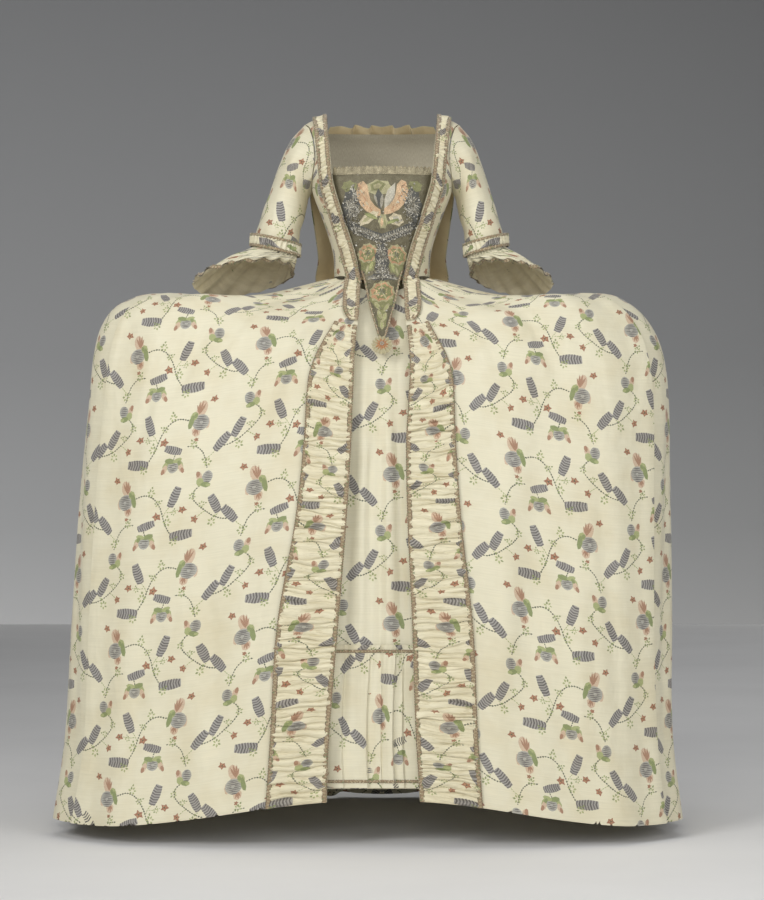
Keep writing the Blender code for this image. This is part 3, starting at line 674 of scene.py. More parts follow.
def cloth(name, grid, flat, outward, material, *nodes, shapes=(), ground="ground", slot="brocaded_silk",
          tube=False, tints=None):
    """A thin sheet on a grid of points, its pattern cut into the mesh. tints colours the outlines' dyes."""
    dyes = {**DYES, **(tints or {})}
    rows, columns = grid.shape[:2]
    across = np.linalg.norm(np.diff(grid, axis=1), axis=2).mean()
    down = np.linalg.norm(np.diff(grid, axis=0), axis=2).mean()
    scale = np.array([across, down]) / max(across, down)
    placed = shapes_on_grid(flat, list(shapes)) if len(shapes) else []
    places, triangles, drawn = cut_in_tiles(rows, columns, placed, scale)
    face_dyes = [dye for dye, _ in placed]
    used, triangles = np.unique(triangles, return_inverse=True)
    triangles = triangles.reshape(-1, 3)
    places = places[used]
    position = bilinear(grid, places[:, 0], places[:, 1])
    normal = bilinear(normals_of(grid, outward, tube), places[:, 0], places[:, 1])
    normal /= np.maximum(np.linalg.norm(normal, axis=1, keepdims=True), 1e-9)
    on_flat = bilinear(flat, places[:, 0], places[:, 1])
    corner = position[triangles]
    facing = np.cross(corner[:, 1] - corner[:, 0], corner[:, 2] - corner[:, 0])
    if (facing * normal[triangles].mean(1)).sum() < 0:
        triangles = triangles[:, ::-1]
    mesh = bpy.data.meshes.new(name)
    mesh.from_pydata(position.tolist(), [], triangles.tolist())
    layer = mesh.uv_layers.new(name="cloth")
    layer.uv.foreach_set("vector", on_flat[triangles.ravel()].astype(np.float32).ravel())
    colours = np.array([(*dyes[ground], 0.0)] + [(*dyes[dye], 1.0) for dye in face_dyes])
    set_colours(mesh, np.repeat(colours[drawn + 1], 3, axis=0))
    piece = new_piece(name, mesh, material, *nodes, slot=slot)
    mesh.normals_split_custom_set_from_vertices(normal.tolist())
    return piece


def declare(piece, flat):
    """Works out the width and length of a piece's flat map and the area of its own cloth; nothing records them."""
    span = flat.reshape(-1, 2).max(0) - flat.reshape(-1, 2).min(0)
    size = (round(float(span[0]), 3), round(float(span[1]), 3))
    area = sum(face.area for face in piece.data.polygons)
    area = min(max(area, 0.301 * size[0] * size[1]), size[0] * size[1])


# ---------------------------------------------------------------------------------------------------
# Materials
# ---------------------------------------------------------------------------------------------------
class Nodes:
    """A short way to lay out a material's nodes."""

    def __init__(self, name, base=(0.8, 0.8, 0.8), roughness=0.6):
        self.material = bpy.data.materials.new(name)
        self.material.use_nodes = True
        self.tree = self.material.node_tree
        self.shader = self.tree.nodes["Principled BSDF"]
        self.shader.inputs["Base Color"].default_value = (*base, 1)
        self.shader.inputs["Roughness"].default_value = roughness

    def add(self, kind, **settings):
        node = self.tree.nodes.new("ShaderNode" + kind)
        for key, value in settings.items():
            setattr(node, key, value)
        return node

    def link(self, output, socket):
        self.tree.links.new(output, socket)

    def maths(self, operation, first, second=None, third=None):
        node = self.add("Math", operation=operation)
        for socket, value in zip(node.inputs, (first, second, third)):
            if value is None:
                continue
            if isinstance(value, (int, float)):
                socket.default_value = value
            else:
                self.link(value, socket)
        return node.outputs[0]

    def noise(self, scale, detail=2.0, roughness=0.5, vector=None, distortion=0.0):
        node = self.add("TexNoise")
        node.inputs["Scale"].default_value = scale
        node.inputs["Detail"].default_value = detail
        node.inputs["Roughness"].default_value = roughness
        node.inputs["Distortion"].default_value = distortion
        if vector is not None:
            self.link(vector, node.inputs["Vector"])
        return node.outputs["Fac"]

    def ramp(self, value, *stops):
        node = self.add("ValToRGB")
        elements = node.color_ramp.elements
        while len(elements) < len(stops):
            elements.new(0.5)
        for element, (place, colour) in zip(elements, stops):
            element.position = place
            element.color = (*colour, 1)
        self.link(value, node.inputs[0])
        return node.outputs["Color"]

    def mix(self, share, first, second, blend="MIX"):
        node = self.add("Mix", data_type="RGBA", blend_type=blend)
        for socket, value in ((node.inputs[0], share), (node.inputs[6], first), (node.inputs[7], second)):
            if isinstance(value, (int, float)):
                socket.default_value = value
            elif isinstance(value, tuple):
                socket.default_value = (*value, 1)
            else:
                self.link(value, socket)
        return node.outputs[2]

    def on_cloth(self, scale=(1, 1)):
        """The place on the flat cloth, in metres times a scale."""
        uv = self.add("UVMap", uv_map="cloth")
        mapping = self.add("Mapping")
        mapping.inputs["Scale"].default_value = (scale[0], scale[1], 1)
        self.link(uv.outputs[0], mapping.inputs["Vector"])
        return mapping.outputs[0]

    def in_object(self):
        return self.add("TexCoord").outputs["Object"]

    def bump(self, height, strength, distance, normal=None):
        node = self.add("Bump")
        node.inputs["Strength"].default_value = strength
        node.inputs["Distance"].default_value = distance
        self.link(height, node.inputs["Height"])
        if normal is not None:
            self.link(normal, node.inputs["Normal"])
        return node.outputs["Normal"]

    def weave(self, threads_per_mm, warp=1.0):
        """A plain weave's height, from the cloth's own directions."""
        across = self.add("SeparateXYZ")
        self.link(self.on_cloth(), across.inputs[0])
        turn = threads_per_mm * 1000 * math.pi
        first = self.maths("ABSOLUTE", self.maths("SINE", self.maths("MULTIPLY", across.outputs[0], turn)))
        second = self.maths("ABSOLUTE", self.maths("SINE", self.maths("MULTIPLY", across.outputs[1], turn)))
        return self.maths("MULTIPLY_ADD", first, warp, second)


def silk_material(name="brocaded_silk", crinkle=0.0):
    """Ribbed silk, its flowers brocaded in with floss that stands a little proud."""
    m = Nodes(name, roughness=0.50)
    dye = m.add("VertexColor", layer_name="dye")
    floss = dye.outputs["Alpha"]
    soft = m.noise(9, 3, 0.6, m.on_cloth())
    streaks = m.noise(1.0, 4, 0.65, m.on_cloth((14, 420)))
    slubs = m.noise(1.0, 2, 0.5, m.on_cloth((1900, 420)))
    worn = m.ramp(soft, (0.30, (0.93, 0.90, 0.84)), (0.55, (1.0, 1.0, 1.0)), (0.75, (1.03, 1.02, 1.0)))
    colour = m.mix(1.0, dye.outputs["Color"], worn, "MULTIPLY")
    colour = m.mix(1.0, colour, m.ramp(streaks, (0.25, (0.93, 0.93, 0.91)), (0.7, (1.04, 1.04, 1.04))),
                   "MULTIPLY")
    strands = m.ramp(slubs, (0.35, (0.72, 0.72, 0.70)), (0.62, (1.16, 1.15, 1.12)))
    shaded = m.mix(1.0, colour, strands, "MULTIPLY")
    colour = m.mix(m.maths("MULTIPLY", floss, 0.75), colour, shaded)
    m.link(colour, m.shader.inputs["Base Color"])
    rough = m.maths("MULTIPLY_ADD", streaks, 0.16, 0.40)
    m.link(m.maths("MULTIPLY_ADD", floss, 0.14, rough), m.shader.inputs["Roughness"])
    m.shader.inputs["Sheen Weight"].default_value = 0.22
    m.shader.inputs["Sheen Roughness"].default_value = 0.35
    m.shader.inputs["Sheen Tint"].default_value = (1.0, 0.98, 0.92, 1)
    m.shader.inputs["Specular IOR Level"].default_value = 0.55
    ribs = m.weave(0.9, warp=0.35)
    normal = m.bump(ribs, 0.30, 0.0002)
    normal = m.bump(m.maths("MULTIPLY", floss, m.maths("ADD", slubs, 0.6)), 0.55, 0.0006, normal)
    normal = m.bump(m.noise(34, 3, 0.55, m.on_cloth((1, 0.6))), 0.22, 0.005, normal)
    normal = m.bump(m.noise(8, 2, 0.5, m.on_cloth((1.5, 0.6)), 0.6), 0.30, 0.020, normal)
    if crinkle:
        puckers = m.noise(1.0, 3, 0.6, m.on_cloth((26, 230)), 0.8)
        lines = m.ramp(puckers, (0.38, (0, 0, 0)), (0.50, (1, 1, 1)), (0.62, (0.35, 0.35, 0.35)))
        normal = m.bump(lines, crinkle, 0.0022, normal)
        # The puckers also darken the colour where they sink and lighten it where they rise: painted shade in the pucker
        # hollows and a painted highlight on the puffs.
        m.link(m.mix(1.0, colour, m.ramp(puckers, (0.34, (0.86, 0.81, 0.70)), (0.43, (1.12, 1.10, 1.06))),
                     "MULTIPLY"),
               m.shader.inputs["Base Color"])
    m.link(normal, m.shader.inputs["Normal"])
    return m.material


def lining_material():
    """Plain silk lining seen inside the sleeve flounces, its tone varying at random and painted paler than its own
    colour: painted light for the shade inside them.
    """
    m = Nodes("silk_lining", roughness=0.6)
    tone = m.noise(26, 4, 0.6, m.on_cloth())
    colour = m.ramp(tone, (0.25, (0.560, 0.490, 0.350)), (0.55, (0.700, 0.630, 0.460)),
                    (0.8, (0.800, 0.730, 0.560)))
    m.link(colour, m.shader.inputs["Base Color"])
    m.shader.inputs["Sheen Weight"].default_value = 0.2
    m.link(m.bump(m.weave(1.1), 0.3, 0.0002), m.shader.inputs["Normal"])
    return m.material


def back_lining_material():
    """Tan silk inside the loose back, painted paler than its own tan: painted light for the shade it sits in."""
    m = Nodes("back_lining", roughness=0.6)
    tone = m.noise(18, 4, 0.6, m.on_cloth())
    colour = m.ramp(tone, (0.3, (0.72, 0.58, 0.33)), (0.6, (0.82, 0.68, 0.41)), (0.8, (0.88, 0.77, 0.50)))
    m.link(colour, m.shader.inputs["Base Color"])
    m.shader.inputs["Sheen Weight"].default_value = 0.2
    m.link(m.bump(m.weave(1.1), 0.3, 0.0002), m.shader.inputs["Normal"])
    return m.material


def braid_material():
    """Knotted fly braid: a soft cord with clipped tufts."""
    m = Nodes("fly_braid", roughness=0.75)
    dye = m.add("VertexColor", layer_name="dye")
    fibre = m.noise(1500, 3, 0.6, m.in_object())
    tone = m.ramp(fibre, (0.3, (0.60, 0.58, 0.54)), (0.68, (1.22, 1.20, 1.12)))
    m.link(m.mix(1.0, dye.outputs["Color"], tone, "MULTIPLY"), m.shader.inputs["Base Color"])
    m.shader.inputs["Sheen Weight"].default_value = 0.35
    m.shader.inputs["Sheen Roughness"].default_value = 0.6
    m.link(m.bump(fibre, 0.8, 0.0009), m.shader.inputs["Normal"])
    return m.material


def silver_material():
    """The stomacher's ground: silk crossed by tarnished silver strip, its motifs in silk and metal."""
    m = Nodes("silver_brocade", roughness=0.42)
    dye = m.add("VertexColor", layer_name="dye")
    net = m.add("TexVoronoi", feature="DISTANCE_TO_EDGE")
    net.inputs["Scale"].default_value = 640
    m.link(m.on_cloth(), net.inputs["Vector"])
    mesh_lines = m.ramp(net.outputs["Distance"], (0.02, (1.25, 1.22, 1.12)), (0.16, (0.66, 0.64, 0.60)))
    tarnish = m.ramp(m.noise(60, 4, 0.6, m.on_cloth()), (0.3, (0.72, 0.68, 0.60)), (0.65, (1.12, 1.10, 1.06)))
    colour = m.mix(1.0, m.mix(1.0, dye.outputs["Color"], mesh_lines, "MULTIPLY"), tarnish, "MULTIPLY")
    m.link(colour, m.shader.inputs["Base Color"])
    strip = m.noise(900, 2, 0.5, m.on_cloth((1, 0.15)))
    m.link(m.maths("MULTIPLY", m.maths("SUBTRACT", 1.0, dye.outputs["Alpha"]),
                   m.maths("MULTIPLY", strip, 0.7)), m.shader.inputs["Metallic"])
    m.link(m.maths("MULTIPLY_ADD", strip, 0.35, 0.25), m.shader.inputs["Roughness"])
    normal = m.bump(net.outputs["Distance"], 0.5, 0.0006)
    m.link(m.bump(strip, 0.35, 0.0005, normal), m.shader.inputs["Normal"])
    return m.material


def metal_material():
    """Spangles and purl: beaten silver gilt, dulled with age."""
    m = Nodes("silver_spangles", roughness=0.3)
    dull = m.noise(420, 3, 0.6, m.in_object())
    m.link(m.ramp(dull, (0.3, (0.26, 0.24, 0.19)), (0.7, (0.62, 0.59, 0.51))), m.shader.inputs["Base Color"])
    m.shader.inputs["Metallic"].default_value = 0.9
    m.link(m.maths("MULTIPLY_ADD", dull, 0.3, 0.26), m.shader.inputs["Roughness"])
    m.link(m.bump(m.noise(2400, 2, 0.5, m.in_object()), 0.5, 0.0004), m.shader.inputs["Normal"])
    return m.material


def lace_material():
    m = Nodes("silver_lace", roughness=0.45)
    net = m.add("TexVoronoi", feature="DISTANCE_TO_EDGE")
    net.inputs["Scale"].default_value = 520
    m.link(m.in_object(), net.inputs["Vector"])
    colour = m.ramp(net.outputs["Distance"], (0.03, (0.46, 0.40, 0.27)), (0.22, (0.17, 0.145, 0.09)))
    tone = m.ramp(m.noise(90, 3, 0.6, m.in_object()), (0.3, (0.75, 0.75, 0.72)), (0.7, (1.2, 1.2, 1.15)))
    m.link(m.mix(1.0, colour, tone, "MULTIPLY"), m.shader.inputs["Base Color"])
    m.shader.inputs["Metallic"].default_value = 0.35
    m.link(m.bump(net.outputs["Distance"], 0.8, 0.0008), m.shader.inputs["Normal"])
    return m.material


def linen_material():
    m = Nodes("linen_lining", roughness=0.85)
    slub = m.noise(1.0, 3, 0.6, m.on_cloth((900, 160)))
    colour = m.ramp(slub, (0.3, (0.50, 0.44, 0.32)), (0.6, (0.62, 0.57, 0.44)), (0.8, (0.70, 0.66, 0.54)))
    m.link(colour, m.shader.inputs["Base Color"])
    m.link(m.bump(m.weave(1.6), 0.5, 0.0004), m.shader.inputs["Normal"])
    return m.material


def wall_material():
    m = Nodes("wall", base=(0.25, 0.25, 0.25), roughness=0.95)
    height = m.add("SeparateXYZ")
    m.link(m.add("NewGeometry").outputs["Position"], height.inputs[0])
    # Painted shade: the backdrop is brightest at its foot and darkens towards the top.
    share = m.maths("MULTIPLY_ADD", height.outputs[2], 0.36, 0.52)
    shade = m.ramp(share, (0.0, (0.76, 0.755, 0.745)), (0.15, (0.60, 0.60, 0.595)),
                   (0.42, (0.45, 0.45, 0.45)),
                   (1.0, (0.30, 0.30, 0.302)))
    # Painted light: the backdrop is brighter on the left and darker towards the right.
    across = m.maths("MULTIPLY_ADD", height.outputs[0], 0.15, 0.5)
    painted_light_across = m.ramp(across, (0.15, (1.14, 1.14, 1.14)), (0.60, (0.90, 0.90, 0.895)),
                     (0.95, (0.66, 0.66, 0.655)))
    m.link(m.mix(1.0, shade, painted_light_across, "MULTIPLY"), m.shader.inputs["Base Color"])
    m.link(m.bump(m.noise(180, 3, 0.6), 0.05, 0.001), m.shader.inputs["Normal"])
    return m.material


def floor_material():
    m = Nodes("floor", base=(0.56, 0.55, 0.53), roughness=0.8)
    grain = m.noise(14, 5, 0.6)
    place = m.add("SeparateXYZ")
    m.link(m.add("NewGeometry").outputs["Position"], place.inputs[0])
    # Painted light: the floor is darker on the left and brighter towards the right.
    across = m.ramp(m.maths("MULTIPLY_ADD", place.outputs[0], 0.25, 0.5), (0.1, (0.90, 0.90, 0.90)),
                    (0.9, (1.2, 1.2, 1.2)))
    tone = m.ramp(grain, (0.3, (0.74, 0.73, 0.715)), (0.7, (0.80, 0.79, 0.775)))
    m.link(m.mix(1.0, tone, across, "MULTIPLY"), m.shader.inputs["Base Color"])
    return m.material


# ---------------------------------------------------------------------------------------------------
# The forms of the pieces, as rows of points
# ---------------------------------------------------------------------------------------------------
def dense(rows, step=0.012):
    """Rows of points with smooth rows between them, about one step apart."""
    rows = np.asarray(rows)
    lengths = np.linalg.norm(np.diff(rows, axis=0), axis=2).mean(1)
    distance = np.concatenate([[0], np.cumsum(lengths)])
    count = max(2, int(round(distance[-1] / step)) + 1)
    places = np.interp(np.linspace(0, distance[-1], count), distance, np.arange(len(rows)))
    return smooth_rows(rows, places), places


def folded(grid, outward, folds, shares, places, depths, sharp=1.0):
    depth = smooth_rows(np.asarray(depths, float), places)
    return lifted(grid, outward, depth[:, None] * sharp * fold_outs(folds, shares)[None])


def skirt_front_rows(side, columns):
    shares = np.linspace(0, 1, columns)
    rows = []
    for edge in SKIRT_EDGES:
        points = half_ring(SKIRT[edge.ring], side)
        first = arc_in_front(points, edge.left if side == LEFT else edge.right)
        seam = arc_in_front(points, SIDE_SEAM * np.abs(points[:, 0]).max())
        rows.append(stretch(points, first, seam, shares))
    return np.array(rows)


def skirt_front_form(side, columns=64):
    grid, places = dense(skirt_front_rows(side, columns))
    grid = folded(grid, -side, FRONT_FOLDS, np.linspace(0, 1, columns), places, FOLD_DEPTH)
    return grid


def skirt_side_form(side, columns=96):
    shares = np.linspace(0, 1, columns)
    rows = []
    for name, ring in SKIRT.items():
        points = half_ring(ring, side)
        first = arc_in_front(points, SIDE_SEAM * np.abs(points[:, 0]).max())
        last = arc_behind(points, BACK_SEAM[name])
        rows.append(stretch(points, first, last, shares))
    grid, places = dense(rows)
    return folded(grid, -side, SIDE_FOLDS, shares, places, FOLD_DEPTH, 1.15)


def sack_form(side, columns=88):
    shares = np.linspace(0, 1, columns)
    rows = []
    depths = []
    for row in SACK:
        x = side * shares * row.half_width
        y = row.edge + (row.centre - row.edge) * (1 - shares**2)
        rows.append(np.column_stack([x, y, np.full(len(x), row.height - SHOULDER_HEIGHT)]))
        depths.append(row.folds)
    for depth, (name, distance) in zip(FOLD_DEPTH, BACK_SEAM.items()):
        points = half_ring(SKIRT[name], side)
        rows.append(stretch(points, arcs(points)[-1], arc_behind(points, distance), shares))
        depths.append(depth)
    grid, places = dense(rows)
    return folded(grid, side, SACK_FOLDS, shares, places, depths, 1.1)


def bodice_front_rows(side, columns):
    """A bodice front with its strap, from behind the shoulder over it and down to the waist."""
    shares = np.linspace(0, 1, columns)
    rows = []
    for edge in FRONT_EDGES:
        points = half_ring(BODICE[edge.ring], side)
        rows.append(stretch(points, arc_in_front(points, edge.inner), arc_in_front(points, edge.outer),
                            shares))
    top = FRONT_EDGES[-1]
    x = side * (top.inner + (top.outer + 0.002 - top.inner) * shares)
    rows.append(np.column_stack([x, 0 * x, 0 * x + STRAP_TOP - SHOULDER_HEIGHT]))
    rows[-1][:, 2] -= STRAP_FALL["top"] * shares**2
    for edge in (FRONT_EDGES[-1], FRONT_EDGES[-2]):
        points = half_ring(BODICE[edge.ring], side)
        rows.append(stretch(points, arc_behind(points, edge.inner), arc_behind(points, edge.outer), shares))
    for row in (len(FRONT_EDGES) - 1, len(FRONT_EDGES) + 1):
        rows[row][:, 2] -= STRAP_FALL["crest"] * shares**2
    return np.array(rows)[::-1]


def bodice_back_rows(columns=21):
    shares = np.linspace(0, 1, columns)
    rows = []
    for edge in reversed(FRONT_EDGES[:-1]):
        halves = []
        for side in (RIGHT, LEFT):
            points = half_ring(BODICE[edge.ring], side)
            halves.append(stretch(points, arc_behind(points, edge.outer), arcs(points)[-1], shares))
        rows.append(np.concatenate([halves[0], halves[1][-2::-1]]))
    return np.array(rows)


def armhole(side, front, back, sides):
    """The edge of the armhole as a closed line, from the shoulder down the front and up the back."""
    underarm = len(front) - 4
    front_edge = front[2 : underarm + 1, -1]
    back_edge = back[: len(back) - 3, -1 if side == LEFT else 0]
    behind = np.concatenate([front[:3, -1][::-1], back_edge])
    half = np.linspace(0, 1, sides // 2 + 1)
    down = along_line(front_edge, half * arcs(front_edge)[-1])
    up = along_line(behind, half * arcs(behind)[-1])[::-1]
    loop = np.concatenate([down[:-1], up])
    loop[:, 0] += side * 0.002
    return loop


def tube_ring(row, side, sides, rise=0.0):
    """A ring of a sleeve or flounce, from its outer side by the front and round; its end is its start."""
    angle = np.linspace(0, 2 * math.pi, sides + 1)
    outer = row.outer_left if side == LEFT else row.outer_right
    x = (outer + row.inner) / 2 + np.cos(angle) * (outer - row.inner) / 2
    y = row.centre - np.sin(angle) * row.depth
    level = (row.outer_height + row.inner_height) / 2
    z = level + np.cos(angle) * (row.outer_height - row.inner_height) / 2 + np.sin(angle) * rise
    return np.column_stack([side * x, y, z - SHOULDER_HEIGHT])


def petticoat_rings(last):
    """The petticoat's rings with their insets, inside the robe's, down to a level hem."""
    rings = []
    for inset, ring in zip(PETTICOAT_INSET, list(SKIRT.values())[:-1]):
        rings.append((ring._replace(
            side_height=ring.side_height - inset,
            front_height=ring.front_height - inset,
            back_height=ring.back_height - inset,
        ), inset))
    above, below = SKIRT["ankle"], SKIRT["hem"]
    at_side = (above.side_height - last) / (above.side_height - below.side_height)
    at_front = (above.front_height - last) / (above.front_height - below.front_height)
    at_back = (above.back_height - last) / (above.back_height - below.back_height)
    bottom = Ring(
        above.right + (below.right - above.right) * at_side,
        above.left + (below.left - above.left) * at_side,
        above.front + (below.front - above.front) * at_front,
        above.back + (below.back - above.back) * at_back,
        last, last, last,
    )
    return rings + [(bottom, PETTICOAT_INSET[-1])]


def petticoat_rows(columns, behind=False):
    rows = []
    shares = np.linspace(0, 1, columns)
    for ring, inset in petticoat_rings(PETTICOAT_HEM):
        halves = []
        for side in (LEFT, RIGHT):
            points = half_ring(ring, side, inset)
            seam = arc_in_front(points, min(PETTICOAT_SEAM, 0.6 * np.abs(points[:, 0]).max()))
            if behind:
                halves.append(stretch(points, seam, arcs(points)[-1], shares))
            else:
                halves.append(stretch(points, 0, seam, shares))
        if behind:
            rows.append(np.concatenate([halves[0], halves[1][-2::-1]]))
        else:
            rows.append(np.concatenate([halves[1][::-1], halves[0][1:]]))
    return np.array(rows)


# ---------------------------------------------------------------------------------------------------
# Ruching: cloth gathered into sharp valleys and full puffs across a strip
# ---------------------------------------------------------------------------------------------------
PUFF_ROWS = 7


def gathered(rows, outward, spacing, height, seed, columns, lean=0.0055):
    """A strip's rows of points, puffed between valleys that wander across it.

    Returns the puffed grid, and the strip's smooth rows before the puffs.
    """
    random = np.random.default_rng(seed)
    shares = np.linspace(0, 1, columns)
    strip = np.array([stretch(row, 0, arcs(row)[-1], shares) for row in rows])
    base, _ = dense(strip, 0.003)
    down = np.concatenate([
        np.zeros((1, columns)), np.cumsum(np.linalg.norm(np.diff(base, axis=0), axis=2), axis=0)])
    length = down[-1].min()
    valleys = [0.0]
    while valleys[-1] < length - spacing[1]:
        valleys.append(valleys[-1] + random.uniform(*spacing))
    valleys = np.array(valleys + [length])
    across = shares - 0.5
    waves = random.uniform(-1, 1, (len(valleys), 3))
    wander = lean * (
        waves[:, :1] * across * 2
        + waves[:, 1:2] * 0.55 * np.cos(math.pi * shares)[None] ** 2
        + 0.30 * np.sin(shares * 9 + waves[:, 2:] * 6)
    )
    wander[[0, -1]] = 0
    lines = valleys[:, None] + wander
    lines = np.maximum.accumulate(lines + np.arange(len(lines))[:, None] * 1e-5, axis=0)
    ends = random.uniform(0.15, 1.25, (len(valleys), 1))
    from_left = random.random((len(valleys), 1)) < 0.5
    reach = np.where(from_left, shares[None], 1 - shares[None])
    strength = 1 - 0.72 * smooth_step((reach - ends) / 0.22)
    strength[::4] = 1 - 0.25 * random.random((len(strength[::4]), 1))
    tall = height * random.uniform(0.72, 1.25, (len(valleys) - 1, 1)) * (
        1 + 0.22 * np.sin(shares[None] * random.uniform(4, 9, (len(valleys) - 1, 1))
                          + random.uniform(0, 6, (len(valleys) - 1, 1))))
    edges = np.clip(np.minimum(shares, 1 - shares) * columns / 2.4, 0, 1)[None] ** 0.5
    where = []
    out = []
    for puff in range(len(valleys) - 1):
        for step in range(PUFF_ROWS if puff < len(valleys) - 2 else PUFF_ROWS + 1):
            share = 0.5 - 0.5 * math.cos(math.pi * step / PUFF_ROWS)
            share = 0.6 * share + 0.4 * step / PUFF_ROWS
            hump = math.sin(math.pi * share) ** 0.55 if 0 < share < 1 else 0.0
            depth = (1 - share) * strength[puff] + share * strength[puff + 1]
            where.append((1 - share) * lines[puff] + share * lines[puff + 1])
            out.append(tall[puff] * (1 - (1 - hump) * depth))
    where = np.array(where)
    out = np.array(out) * (0.30 + 0.70 * edges)
    grid = np.empty((*where.shape, 3))
    normal = normals_of(base, outward)
    for column in range(columns):
        level = np.interp(where[:, column] * down[-1, column] / length, down[:, column], np.arange(len(base)))
        below = np.clip(level.astype(int), 0, len(base) - 2)
        share = (level - below)[:, None]
        grid[:, column] = base[below, column] * (1 - share) + base[below + 1, column] * share
        grid[:, column] += (normal[below, column] * (1 - share) + normal[below + 1, column] * share) * (
            out[:, column, None])
    return grid, base


def ruched_map(grid, fullness):
    """The flat cloth of a ruched strip: as wide as the strip, and as long as its gathers let out."""
    across = np.linalg.norm(np.diff(grid[:: PUFF_ROWS], axis=1), axis=2).mean(0)
    across = np.concatenate([[0], np.cumsum(across)])
    step = np.linalg.norm(np.diff(grid, axis=0), axis=2).mean(1)
    down = np.concatenate([[0], np.cumsum(step)])
    u, v = np.meshgrid(across, (down[-1] - down) * fullness)
    return np.stack([u, v], axis=2)


# ---------------------------------------------------------------------------------------------------
# Fly braid
# ---------------------------------------------------------------------------------------------------
BRAID_DYES = {
    "cord": (0.285, 0.205, 0.118), "pale": (0.420, 0.335, 0.212), "dark": (0.165, 0.120, 0.070),
    "cream": (0.560, 0.485, 0.335), "green": (0.205, 0.245, 0.115), "tan": (0.340, 0.245, 0.148),
}


def fly_braid(name, line, normal, width, material, *nodes, seed=0, tuft_every=0.0075):
    """A crowned cord with scalloped edges along a line, and clipped tufts on it."""
    random = np.random.default_rng(seed)
    lengths = arcs(line)
    count = max(8, int(lengths[-1] / 0.0016))
    place = np.linspace(0, lengths[-1], count)
    centre = np.column_stack([np.interp(place, lengths, line[:, axis]) for axis in range(3)])
    up = np.column_stack([np.interp(place, lengths, normal[:, axis]) for axis in range(3)])
    up /= np.linalg.norm(up, axis=1, keepdims=True)
    along = np.gradient(centre, axis=0)
    along /= np.maximum(np.linalg.norm(along, axis=1, keepdims=True), 1e-9)
    out = np.cross(along, up)
    out /= np.maximum(np.linalg.norm(out, axis=1, keepdims=True), 1e-9)
    scallop = 0.80 + 0.20 * np.abs(np.sin(place * math.pi / 0.0048))
    across = np.array([-1.0, -0.62, 0.0, 0.62, 1.0])
    rise = np.array([0.0, 0.75, 1.0, 0.75, 0.0])
    half = width / 2 * scallop[:, None] * across[None]
    crown = 0.0011 * (0.8 + 0.35 * np.cos(place * math.pi / 0.0024))[:, None] * rise[None] + 0.0002
    points = centre[:, None] + out[:, None] * half[..., None] + up[:, None] * crown[..., None]
    rows, columns = points.shape[:2]
    vertices = points.reshape(-1, 3).tolist()
    node = np.arange(rows * columns).reshape(rows, columns)
    quads = np.stack([node[:-1, :-1], node[:-1, 1:], node[1:, 1:], node[1:, :-1]], axis=2).reshape(-1, 4)
    faces = quads.tolist()
    band = np.arange(rows - 1)
    weft = np.where((band // 2) % 2 == 0, 0, 1)
    dyes = []
    for row in range(rows - 1):
        for column in range(columns - 1):
            edge = column in (0, columns - 2)
            dyes.append("dark" if edge and weft[row] else "pale" if weft[row] else "cord")
    for at in np.arange(tuft_every / 2, lengths[-1], tuft_every):
        row = min(rows - 1, int(at / lengths[-1] * (rows - 1)))
        for side in (-1, 1):
            if random.random() < 0.12:
                continue
            middle = centre[row] + out[row] * side * width * random.uniform(0.16, 0.34)
            middle = middle + up[row] * 0.0016 + along[row] * random.normal(0, 0.0008)
            size = random.uniform(0.0011, 0.0019)
            start = len(vertices)
            turn = random.uniform(0, 6)
            for spoke in range(6):
                angle = turn + spoke * math.pi / 3
                reach = size * (1.25 if spoke % 2 else 0.8)
                vertices.append((middle + (along[row] * math.cos(angle) + out[row] * math.sin(angle)) * reach).tolist())
            vertices.append((middle + up[row] * size * 0.85).tolist())
            dye = ("cream", "green", "tan")[random.integers(3)]
            for spoke in range(6):
                faces.append([start + spoke, start + (spoke + 1) % 6, start + 6])
                dyes.append(dye)
    mesh = bpy.data.meshes.new(name)
    mesh.from_pydata(vertices, [], faces)
    tints = {key: np.array([*value, 1.0]) for key, value in BRAID_DYES.items()}
    corners = []
    for dye, face in zip(dyes, faces):
        corners += [tints[dye] * (1, 1, 1, 1)] * len(face)
    set_colours(mesh, corners)
    return new_piece(name, mesh, material, *nodes, slot="fly_braid")


# ---------------------------------------------------------------------------------------------------
# The pieces
# ---------------------------------------------------------------------------------------------------
SILK = silk_material()
GATHERED_SILK = silk_material("gathered_silk", 0.5)
LINING = lining_material()
BACK_LINING = back_lining_material()
BRAID = braid_material()
SILVER = silver_material()
METAL = metal_material()
LACE = lace_material()
LINEN = linen_material()

LIFT = 0.0024  # the trimmings lie this far over their panel
PUFF = 0.0046  # how high the skirt trimmings' puffs stand
BRAID_WIDTH = 0.0105


def turned_hem(grid, flat, outward, depth=0.010, inward=0.0016):
    """Adds the hem's turning: the cloth goes round its lower edge and up behind."""
    normal = normals_of(grid, outward)
    steps = [(0.0002, 0.5), (0.35, 1.0), (1.0, 1.0)]
    rows = []
    flats = []
    above = grid[-3] - grid[-1]
    above /= np.maximum(np.linalg.norm(above, axis=1, keepdims=True), 1e-9)
    for share, back in steps:
        rows.append(grid[-1] + above * depth * share - normal[-1] * inward * back)
        flats.append(flat[-1] - (0, depth * (share + 0.02)))
    return np.concatenate([grid, rows]), np.concatenate([flat, flats])


SEAM_LAP = 0.009


